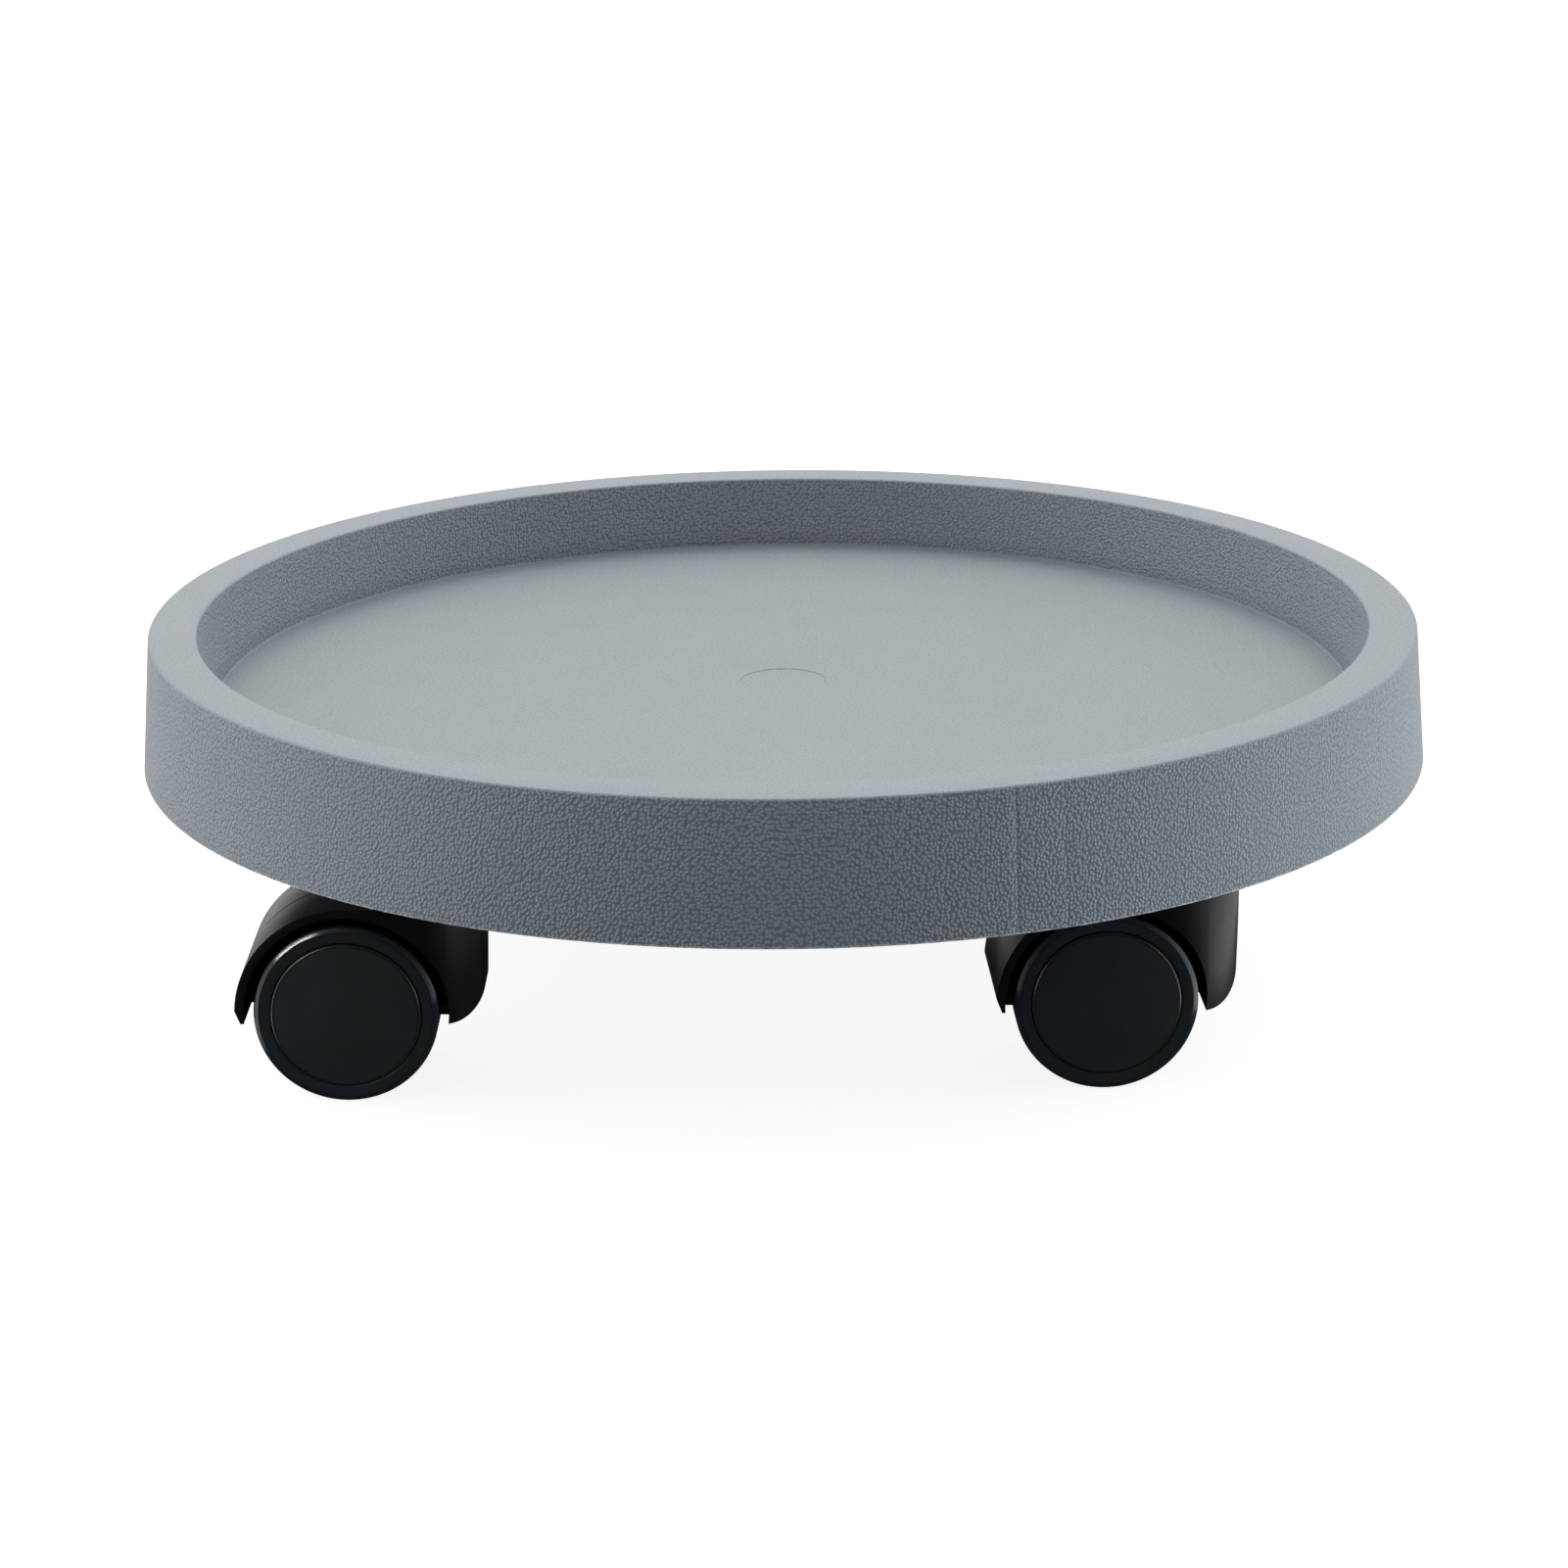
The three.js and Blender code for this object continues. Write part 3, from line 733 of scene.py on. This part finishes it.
def tray_material():
    """Blue-grey plastic with a leather grain, painted shade in the grain's valleys and in the recess's
    corner, and a painted highlight along the lower edge.
    """
    nodes = Nodes("tray_plastic")
    out = nodes.from_centre()
    height = nodes.parts(nodes.place)["Z"]
    faces = nodes.parts(nodes.node("ShaderNodeNewGeometry").outputs["True Normal"])
    levelness = nodes.math("ABSOLUTE", faces["Z"])
    grain_share = nodes.spread(levelness, *LEVEL_FADE, 1, LEVEL_GRAIN)

    unrolled = nodes.unrolled(nodes.math("GREATER_THAN", levelness, 0.5))
    stirred = nodes.wavy(unrolled, GRAIN_STIRS_PER_METRE, GRAIN_STIR * MM)
    pebbles = nodes.cells(GRAIN_CELLS_PER_METRE, GRAIN_SMOOTHNESS, GRAIN_RANDOMNESS, stirred)
    leather = nodes.spread(pebbles, 0.1, 0.6, 1, 0)
    fine = nodes.bump(nodes.noise(2600, 2, 0.6), FINE_GRAIN_DEPTH * MM)
    normal = nodes.bump(nodes.math("MULTIPLY", leather, grain_share), GRAIN_DEPTH * MM, fine)

    mottle = nodes.spread(nodes.noise(26, 4, 0.6), 0.3, 0.7, 0, 1)
    base = nodes.blend(mottle, TRAY_DARK, TRAY_LIGHT)
    # The grain's valleys get painted shade, darker where the pebbles dip.
    valley_shade = nodes.math("MULTIPLY", nodes.spread(leather, 0.8, 0.0, 0, VALLEY_SHADE_SHARE), grain_share)
    grained = nodes.blend(valley_shade, base, VALLEY_SHADE_COLOUR)
    # Painted shade in the corner between the floor and the recess's wall.
    corner_shaded = nodes.blend(painted_corner_shade(nodes, out, height), grained, CORNER_SHADE_COLOUR)
    # A painted highlight along the skirt's lower edge.
    colour = nodes.blend(painted_edge_highlight(nodes, out, height), corner_shaded, EDGE_HIGHLIGHT_COLOUR)
    roughness = nodes.spread(nodes.noise(60, 3, 0.6), 0.3, 0.7, *TRAY_ROUGHNESS)
    return nodes.finish(colour, roughness, normal)


def painted_corner_shade(nodes, out, height):
    """The share of painted shade, which grows towards the corner between the floor and the recess's wall.
    """
    corner_shade = nodes.spread(out, CORNER_SHADE_START_RADIUS * MM, CORNER_SHADE_END_RADIUS * MM, 0, CORNER_SHADE_SHARE)
    within_rim = nodes.math("LESS_THAN", out, RIM_INNER_RADIUS * MM)
    low_down = nodes.spread(height, (FLOOR_TOP + 1) * MM, (FLOOR_TOP + 4) * MM, 1, 0)
    above_floor = nodes.math("GREATER_THAN", height, (FLOOR_TOP - 1) * MM)
    for limit in (within_rim, low_down, above_floor):
        corner_shade = nodes.math("MULTIPLY", corner_shade, limit)
    return corner_shade


def painted_edge_highlight(nodes, out, height):
    """The share of a painted highlight, in patches along the skirt's lower edge, for the floor's light
    caught by the edge's rounding.
    """
    along_edge = nodes.spread(height, (SKIRT_BOTTOM + 0.25) * MM, (SKIRT_BOTTOM + 0.6) * MM, 1, 0)
    patchy = nodes.spread(nodes.noise(420, 2, 0.6), 0.4, 0.62, 0.15, 1)
    on_skirt = nodes.math("GREATER_THAN", out, (BASE_RADIUS - 2) * MM)
    return nodes.math("MULTIPLY", nodes.math("MULTIPLY", along_edge, patchy), on_skirt)


def black_material(
    name, dark, light, roughness_range, grain_scale, grain_depth, specular, worn_from=None
):
    """Black plastic, finely grained, with a cloudy gloss, polished by wear beyond a radius if given."""
    nodes = Nodes(name)
    cloud = nodes.noise(55, 4, 0.6)
    speck = nodes.noise(grain_scale, 2, 0.6)
    colour = nodes.blend(nodes.spread(cloud, 0.3, 0.7, 0, 1), dark, light)
    unevenness = nodes.math("ADD", cloud, nodes.math("MULTIPLY", speck, 0.4))
    roughness = nodes.spread(unevenness, 0.45, 0.95, *roughness_range)
    if worn_from:
        worn_to = worn_from + WORN_FADE
        polish = nodes.spread(nodes.from_centre(), worn_from * MM, worn_to * MM, 1, WORN_ROUGHNESS)
        roughness = nodes.math("MULTIPLY", roughness, polish)
    return nodes.finish(colour, roughness, nodes.bump(speck, grain_depth * MM), specular=specular)


def sleeve_material():
    """Natural nylon, slightly yellow and waxy."""
    nodes = Nodes("sleeve_plastic")
    cloud = nodes.noise(90, 3, 0.5)
    colour = nodes.blend(cloud, NYLON_DARK, NYLON_LIGHT)
    roughness = nodes.spread(cloud, 0.3, 0.7, 0.38, 0.5)
    normal = nodes.bump(nodes.noise(1800), INNER_PIECE_GRAIN_DEPTH * MM)
    return nodes.finish(colour, roughness, normal)


def steel_material():
    """Zinc-plated steel: fine turning marks round the part and a slightly uneven plating."""
    nodes = Nodes("zinc_steel")
    stretched = nodes.node("ShaderNodeMapping")
    nodes.link(nodes.place, stretched.inputs["Vector"])
    stretched.inputs["Scale"].default_value = TURNING_MARK_STRETCH
    marks = nodes.noise(900, 3, 0.6, place=stretched.outputs["Vector"])
    cloud = nodes.noise(120, 3, 0.6)
    colour = nodes.blend(cloud, STEEL_DARK, STEEL_LIGHT)
    roughness = nodes.spread(nodes.math("ADD", marks, cloud), 0.6, 1.4, 0.22, 0.42)
    normal = nodes.bump(marks, INNER_PIECE_GRAIN_DEPTH * MM)
    return nodes.finish(colour, roughness, normal, metallic=1.0)


# ---------------------------------------------------------------- tray


def skirt_radius(height):
    """The skirt's outer radius at a height."""
    share = (height - SKIRT_BOTTOM) / SKIRT_HEIGHT
    return BASE_RADIUS + (RIM_OUTER_RADIUS - BASE_RADIUS) * share


def recess_radius(height):
    """The radius of the recess's wall at a height."""
    share = (height - FLOOR_TOP) / FLOOR_DEPTH
    return FLOOR_RADIUS + (RIM_INNER_RADIUS - FLOOR_RADIUS) * share


def tray_outline():
    """Half section of the shell, from the middle of its underside round to the middle of its top."""
    recess_back = recess_radius(FLOOR_UNDERSIDE) + TRAY_WALL
    return rounded(
        [
            (0, FLOOR_UNDERSIDE, 0),
            (recess_back, FLOOR_UNDERSIDE, TRAY_INSIDE_ROUND),
            (recess_radius(RIM_UNDERSIDE) + TRAY_WALL, RIM_UNDERSIDE, TRAY_INSIDE_ROUND),
            (skirt_radius(RIM_UNDERSIDE) - TRAY_WALL, RIM_UNDERSIDE, TRAY_INSIDE_ROUND),
            (BASE_RADIUS - TRAY_WALL, SKIRT_BOTTOM, SKIRT_EDGE_ROUND),
            (BASE_RADIUS, SKIRT_BOTTOM, SKIRT_EDGE_ROUND),
            (RIM_OUTER_RADIUS, TOTAL_HEIGHT, RIM_ROUND),
            (RIM_INNER_RADIUS, TOTAL_HEIGHT, RIM_ROUND),
            (FLOOR_RADIUS, FLOOR_TOP, FLOOR_CORNER_ROUND),
            (GATE_MARK_RADIUS + GATE_MARK_DEPTH / 2, FLOOR_TOP, GATE_MARK_ROUND),
            (GATE_MARK_RADIUS, FLOOR_TOP - GATE_MARK_DEPTH, GATE_MARK_ROUND),
            (0, FLOOR_TOP - GATE_MARK_DEPTH, 0),
        ],
        closed=False,
    )


def skirt_line_depth(angle, radius, height):
    """How far a point of the skirt moves in where a mould line crosses it."""
    on_skirt = radius > skirt_radius(height) - TRAY_WALL / 2
    if not on_skirt:
        return 0
    for bearing, half_width, depth in SKIRT_LINES:
        off = abs(math.degrees(angle) - bearing) / half_width
        if off < 1:
            return -depth * (1 - off)
    return 0


def tray_angles():
    """Even turns round the tray, with extra ones where the mould lines run."""
    angles = set(even_angles(TRAY_SIDES))
    for bearing, half_width, _ in SKIRT_LINES:
        for step in (-1.0, -0.5, 0.0, 0.5, 1.0):
            angles.add(math.radians(bearing + step * half_width))
    return sorted(angles)


def radial_rib(turn):
    """One upright rib from the middle ring to the skirt. Its ends lie inside the walls."""
    half = TRAY_WALL / 2
    bottom = FLOOR_UNDERSIDE - RIB_DEPTH
    in_floor = FLOOR_UNDERSIDE + half
    in_rim = RIM_UNDERSIDE + half
    points = [
        (RING_RIB_RADII[0], bottom),
        (skirt_radius(bottom) - half, bottom),
        (skirt_radius(in_rim) - half, in_rim),
        (recess_radius(in_rim) + half, in_rim),
        (recess_radius(in_floor) + half, in_floor),
        (RING_RIB_RADII[0], in_floor),
    ]
    rib = upright_prism("rib", points, RIB_THICKNESS / 2)
    round_edges(rib, RIB_EDGE_ROUND)
    rib.data.transform(Matrix.Rotation(turn, 4, "Z"))
    return rib


def ring_rib(radius):
    """A round rib under the floor. Its top lies inside the floor."""
    bottom = FLOOR_UNDERSIDE - RIB_DEPTH
    top = FLOOR_UNDERSIDE + TRAY_WALL / 2
    inner, outer = radius - RIB_THICKNESS / 2, radius + RIB_THICKNESS / 2
    corners = [
        (inner, bottom, RIB_EDGE_ROUND),
        (outer, bottom, RIB_EDGE_ROUND),
        (outer, top, 0),
        (inner, top, 0),
    ]
    return revolve("ring_rib", closed_ring(rounded(corners, closed=True)), even_angles(TRAY_SIDES // 2))


def boss(spot):
    """The round post under the floor that a castor's sleeve sits in."""
    top = FLOOR_UNDERSIDE + TRAY_WALL / 2
    corners = [
        (0, BOSS_BOTTOM, 0),
        (BOSS_RADIUS, BOSS_BOTTOM, RIB_EDGE_ROUND),
        (BOSS_RADIUS, top, 0),
        (0, top, 0),
    ]
    post = revolve("boss", rounded(corners, closed=False), even_angles(ROUND_SIDES))
    post.data.transform(Matrix.Translation(spot))
    return post


def boss_bore(spot):
    bore = prism("bore", circle(BOSS_BORE_RADIUS, ROUND_SIDES), BOSS_BOTTOM - 1, BOSS_BORE_TOP)
    bore.data.transform(Matrix.Translation(spot))
    return bore


def make_tray(material):
    tray = revolve("tray_moulding", tray_outline(), tray_angles(), skirt_line_depth)
    turn = math.atan2(STEM_SPOTS[0].y, STEM_SPOTS[0].x)
    combine(tray, "UNION", *[radial_rib(turn + 2 * math.pi * i / RIB_COUNT) for i in range(RIB_COUNT)])
    combine(tray, "UNION", *[ring_rib(radius) for radius in RING_RIB_RADII])
    combine(tray, "UNION", *[boss(spot) for spot in STEM_SPOTS])
    combine(tray, "DIFFERENCE", *[boss_bore(spot) for spot in STEM_SPOTS])
    tray.data.materials.clear()
    tray.data.materials.append(material)
    smooth(tray)
    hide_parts("tray")
    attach(tray, "caddy_base")


# ---------------------------------------------------------------- castor pieces


def hood_side_outline(inset):
    """The hood from its side, moved inwards by inset: crown, top of the nose and under the nose."""
    arch = HOOD_RADIUS - inset
    bottom = NOSE_BOTTOM + inset
    top = HOOD_TOP - inset
    front = NOSE_REACH - inset
    fillet = NOSE_TOP_FILLET - inset
    corner = NOSE_CORNER_RADIUS - inset
    cut_angle = math.pi - math.asin((TIP_CUT_HEIGHT - AXLE_HEIGHT) / arch)
    under = (front - NOSE_DRAFT - corner, bottom + corner)
    points = arc(AXLE_SPOT, arch, cut_angle, math.pi / 2, CROWN_STEPS)
    points += arc((front - fillet, top - fillet), fillet, math.pi / 2, 0, NOSE_TOP_STEPS)
    points += arc(under, corner, 0, -math.pi / 2, NOSE_CORNER_STEPS)
    points.append((-TRAIL - arch + TIP_CUT_DEPTH, TIP_HEIGHT + inset))
    return points


def hood_plan_outline(inset):
    """The hood from above, moved inwards by inset: straight sides and a half-oval nose."""
    half_width = HOOD_HALF_WIDTH - inset
    rear = -TRAIL - HOOD_RADIUS - 1
    length = NOSE_REACH - NOSE_ROUND_START - inset
    nose = arc((0, 0), 1, -math.pi / 2, math.pi / 2, NOSE_PLAN_STEPS)
    oval = [(NOSE_ROUND_START + length * x, half_width * y) for x, y in nose]
    return [(rear, half_width), (rear, -half_width)] + oval


def hood_form(inset):
    """The hood as a solid, moved inwards by inset: its side view and its plan in one."""
    side = upright_prism("side", hood_side_outline(inset), HOOD_HALF_WIDTH + 1)
    plan = prism("plan", hood_plan_outline(inset), 0, HOOD_TOP + 1)
    return combine(side, "INTERSECT", plan)


def crown_groove():
    """A fine slot along the middle of the hood's crown."""
    inner, outer = HOOD_RADIUS - CROWN_GROOVE_DEPTH, HOOD_RADIUS + 1
    points = arc_band(AXLE_SPOT, outer, inner, CROWN_GROOVE_START, CROWN_GROOVE_END, CROWN_GROOVE_STEPS)
    return upright_prism("groove", points, CROWN_GROOVE_HALF_WIDTH)


def housing_shape():
    """Hood, nose, web, stem hub and axle boss as one closed mesh."""
    hollow = axle_cylinder("well", HOOD_WELL_RADIUS, HOOD_HALF_WIDTH + 1, WHEEL_SIDES)
    combine(hollow, "UNION", hood_form(NOSE_WALL))
    combine(hollow, "DIFFERENCE", upright_prism("slab", rectangle(*WEB_SLAB), WEB_HALF_THICKNESS))
    reach = HOOD_WELL_RADIUS - 0.5
    foot = rectangle(-TRAIL - reach, WEB_BOTTOM, -TRAIL + reach, TIP_HEIGHT + 1)
    under_top = HOOD_TOP - NOSE_WALL / 2
    stem_bore = circle(STEM_PIN_RADIUS + RUNNING_CLEARANCE, ROUND_SIDES)
    housing = combine(hood_form(0), "DIFFERENCE", hollow)
    combine(
        housing,
        "UNION",
        upright_prism("foot", foot, WEB_HALF_THICKNESS),
        prism("hub", circle(STEM_HUB_RADIUS, ROUND_SIDES), STEM_HUB_BOTTOM, under_top),
        prism("turret", circle(TURRET_RADIUS, ROUND_SIDES), under_top, TURRET_TOP),
        axle_cylinder("axle_boss", AXLE_BOSS_RADIUS, AXLE_BOSS_END),
    )
    combine(
        housing,
        "DIFFERENCE",
        prism("stem_bore", stem_bore, STEM_BOTTOM - FIT_GAP, TURRET_TOP + 1),
        axle_cylinder("axle_bore", AXLE_RADIUS + RUNNING_CLEARANCE, AXLE_BOSS_END + 1),
    )
    return housing


def housing_mesh():
    """The housing with its edges rounded, and the groove cut after that so that it stays crisp."""
    housing = round_edges(housing_shape(), HOOD_EDGE_ROUND, angle=35)
    return smooth(combine(housing, "DIFFERENCE", crown_groove()))


def wheel_outline():
    """Half section of a wheel: hub, web and rim, with a worn slope at the rim's outer shoulder."""
    bore = AXLE_RADIUS + RUNNING_CLEARANCE
    edge = WHEEL_EDGE_ROUND
    return closed_ring(
        rounded(
            [
                (bore, WHEEL_INNER_FACE, edge),
                (WHEEL_HUB_RADIUS, WHEEL_INNER_FACE, edge),
                (WHEEL_HUB_RADIUS, WHEEL_WEB_INNER, WHEEL_INSIDE_ROUND),
                (CAP_SEAT_RADIUS, WHEEL_WEB_INNER, WHEEL_INSIDE_ROUND),
                (CAP_SEAT_RADIUS, WHEEL_INNER_FACE, edge),
                (WHEEL_RADIUS, WHEEL_INNER_FACE, SHOULDER_WIDTH),
                (WHEEL_RADIUS, WHEEL_OUTER_FACE - SHOULDER_DEPTH, SHOULDER_TREAD_ROUND),
                (WHEEL_RADIUS - SHOULDER_WIDTH, WHEEL_OUTER_FACE, SHOULDER_FACE_ROUND),
                (CAP_SEAT_RADIUS, WHEEL_OUTER_FACE, edge),
                (CAP_SEAT_RADIUS, WHEEL_WEB_OUTER, edge),
                (WHEEL_HUB_RADIUS, WHEEL_WEB_OUTER, edge),
                (WHEEL_HUB_RADIUS, WHEEL_HUB_END, edge),
                (bore, WHEEL_HUB_END, edge),
            ],
            closed=True,
        )
    )


def wheel_mesh():
    """Hub, web and rim, with short ribs between hub and rim on the side that faces the castor."""
    wheel = revolve("wheel", wheel_outline(), even_angles(WHEEL_SIDES))
    spokes = []
    half = SPOKE_HALF_THICKNESS
    bar = rectangle(WHEEL_HUB_RADIUS - 1, -half, CAP_SEAT_RADIUS + 1, half)
    for turn in even_angles(WHEEL_SPOKES):
        spoke = prism("spoke", bar, WHEEL_INNER_FACE + 1, WHEEL_WEB_INNER + 0.5)
        round_edges(spoke, SPOKE_EDGE_ROUND)
        spoke.data.transform(Matrix.Rotation(turn, 4, "Z"))
        spokes.append(spoke)
    return smooth(combine(wheel, "UNION", *spokes))


def cap_mesh():
    """Flat round cap with a snap lip behind it and a softly rounded edge."""
    outer = CAP_SEAT_RADIUS - CAP_GAP
    lip_inner = outer - CAP_LIP_WIDTH
    lip_end = WHEEL_WEB_OUTER + FIT_GAP
    corners = [
        (0, CAP_OUTER_FACE - CAP_THICKNESS, 0),
        (lip_inner, CAP_OUTER_FACE - CAP_THICKNESS, 0.4),
        (lip_inner, lip_end, 0.2),
        (outer, lip_end, 0.3),
        (outer, CAP_OUTER_FACE, 0.6),
        (0, CAP_OUTER_FACE, 0),
    ]
    return smooth(revolve("cap", rounded(corners, closed=False), even_angles(WHEEL_SIDES)))


def stem_mesh():
    """Steel pin with a load-bearing collar and a groove for the grip ring near its top."""
    groove_top = GRIP_GROOVE_BOTTOM + GRIP_RING_HEIGHT + 2 * FIT_GAP
    edge = 0.2
    corners = [
        (0, STEM_BOTTOM, 0),
        (STEM_PIN_RADIUS, STEM_BOTTOM, 0.6),
        (STEM_PIN_RADIUS, COLLAR_BOTTOM, edge),
        (STEM_COLLAR_RADIUS, COLLAR_BOTTOM, edge),
        (STEM_COLLAR_RADIUS, COLLAR_TOP, 0.4),
        (STEM_SHANK_RADIUS, COLLAR_TOP, edge),
        (STEM_SHANK_RADIUS, GRIP_GROOVE_BOTTOM, edge),
        (GRIP_GROOVE_RADIUS, GRIP_GROOVE_BOTTOM, edge),
        (GRIP_GROOVE_RADIUS, groove_top, edge),
        (STEM_SHANK_RADIUS, groove_top, edge),
        (STEM_SHANK_RADIUS, STEM_TOP - STEM_TIP_TAPER, 0.3),
        (STEM_SHANK_RADIUS - STEM_TIP_TAPER, STEM_TOP, 0.3),
        (0, STEM_TOP, 0),
    ]
    return smooth(revolve("stem", rounded(corners, closed=False), even_angles(ROUND_SIDES)))


def grip_ring_mesh():
    """Split spring ring, with its slit towards +X as on the real one."""
    inner, outer = GRIP_GROOVE_RADIUS + FIT_GAP, GRIP_RING_OUTER_RADIUS
    points = arc_band((0, 0), outer, inner, GRIP_RING_SLIT_DEGREES, 360, GRIP_RING_STEPS)
    low = GRIP_GROOVE_BOTTOM + FIT_GAP
    ring = prism("grip_ring", points, low, low + GRIP_RING_HEIGHT)
    return smooth(round_edges(ring, GRIP_RING_EDGE_ROUND, segments=2))


def washer_mesh():
    """Flat thrust washer between the housing's turret and the stem's collar."""
    inner = STEM_PIN_RADIUS + FIT_GAP
    top = WASHER_BOTTOM + WASHER_THICKNESS
    corners = [
        (inner, WASHER_BOTTOM, 0.15),
        (STEM_COLLAR_RADIUS, WASHER_BOTTOM, 0.2),
        (STEM_COLLAR_RADIUS, top, 0.2),
        (inner, top, 0.15),
    ]
    return smooth(revolve("washer", closed_ring(rounded(corners, closed=True)), even_angles(ROUND_SIDES)))


def sleeve_mesh():
    """Bush that lines a boss, with a flange under it."""
    outer = BOSS_BORE_RADIUS - FIT_GAP
    flange_top = BOSS_BOTTOM - FIT_GAP
    flange_bottom = flange_top - SLEEVE_FLANGE_THICKNESS
    top = BOSS_BORE_TOP - FIT_GAP
    corners = [
        (SLEEVE_BORE_RADIUS, flange_bottom, 0.3),
        (SLEEVE_FLANGE_RADIUS, flange_bottom, 0.3),
        (SLEEVE_FLANGE_RADIUS, flange_top, 0.2),
        (outer, flange_top, 0.2),
        (outer, top, 0.4),
        (SLEEVE_BORE_RADIUS, top, 0.3),
    ]
    return smooth(revolve("sleeve", closed_ring(rounded(corners, closed=True)), even_angles(ROUND_SIDES)))


def axle_mesh():
    axle = axle_cylinder("axle", AXLE_RADIUS, AXLE_HALF_LENGTH)
    return smooth(round_edges(axle, AXLE_EDGE_ROUND))


# ---------------------------------------------------------------- assembly


def castor_frame(place):
    """Where a castor's own frame lies: its stem on the ground, turned to its heading at rest."""
    stem = Vector(JOINTS[place + "_swivel"]["pos_m"])
    axle_line = JOINTS[place + "_roll_a"]["axis"]
    heading = math.atan2(-axle_line[0], axle_line[1])
    return Matrix.Translation((stem.x, stem.y, 0)) @ Matrix.Rotation(heading, 4, "Z")


def wheel_side(side):
    """Turns a wheel that is built round Z onto the axle's line, on the castor's +Y or -Y side."""
    centre = Matrix.Translation(Vector((-TRAIL, 0, AXLE_HEIGHT)) * MM)
    return centre @ Matrix.Rotation(math.radians(-90 * side), 4, "X")


def place_piece(shape, node, body, material, matrix):
    """A copy of a shape that stands for one CAD node and rides on its body."""
    mesh = shape.data
    if not mesh.materials:
        mesh.materials.append(material)
    piece = bpy.data.objects.new("look_" + node, mesh)
    bpy.context.scene.collection.objects.link(piece)
    piece.matrix_world = matrix
    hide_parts(node)
    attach(piece, body)


def make_castors():
    housing_black = black_material("housing_plastic", **HOUSING_LOOK)
    wheel_black = black_material("wheel_plastic", **WHEEL_LOOK)
    cap_black = black_material("cap_plastic", **CAP_LOOK)
    nylon = sleeve_material()
    steel = steel_material()
    housing, wheel, cap = housing_mesh(), wheel_mesh(), cap_mesh()
    stem, grip_ring, washer = stem_mesh(), grip_ring_mesh(), washer_mesh()
    sleeve, axle = sleeve_mesh(), axle_mesh()
    base = "caddy_base"
    for place in PLACES:
        spot = castor_frame(place)
        swivel_body = place + "_castor"
        place_piece(sleeve, place + "_socket_sleeve", base, nylon, spot)
        place_piece(stem, place + "_stem", base, steel, spot)
        place_piece(grip_ring, place + "_grip_ring", base, steel, spot)
        place_piece(washer, place + "_swivel_washer", base, steel, spot)
        place_piece(housing, place + "_housing", swivel_body, housing_black, spot)
        place_piece(axle, place + "_axle", swivel_body, steel, spot)
        for letter, side in (("a", 1), ("b", -1)):
            seat = spot @ wheel_side(side)
            roller = place + "_roller_" + letter
            place_piece(wheel, place + "_wheel_" + letter, roller, wheel_black, seat)
            place_piece(cap, place + "_wheel_cap_" + letter, roller, cap_black, seat)
    for shape in (housing, wheel, cap, stem, grip_ring, washer, sleeve, axle):
        bpy.data.objects.remove(shape)


bpy.context.scene.view_settings.view_transform = "Standard"
make_camera()
make_lamps()
make_surround()
make_floor()
make_backdrop()
make_flag()
make_tray(tray_material())
make_castors()
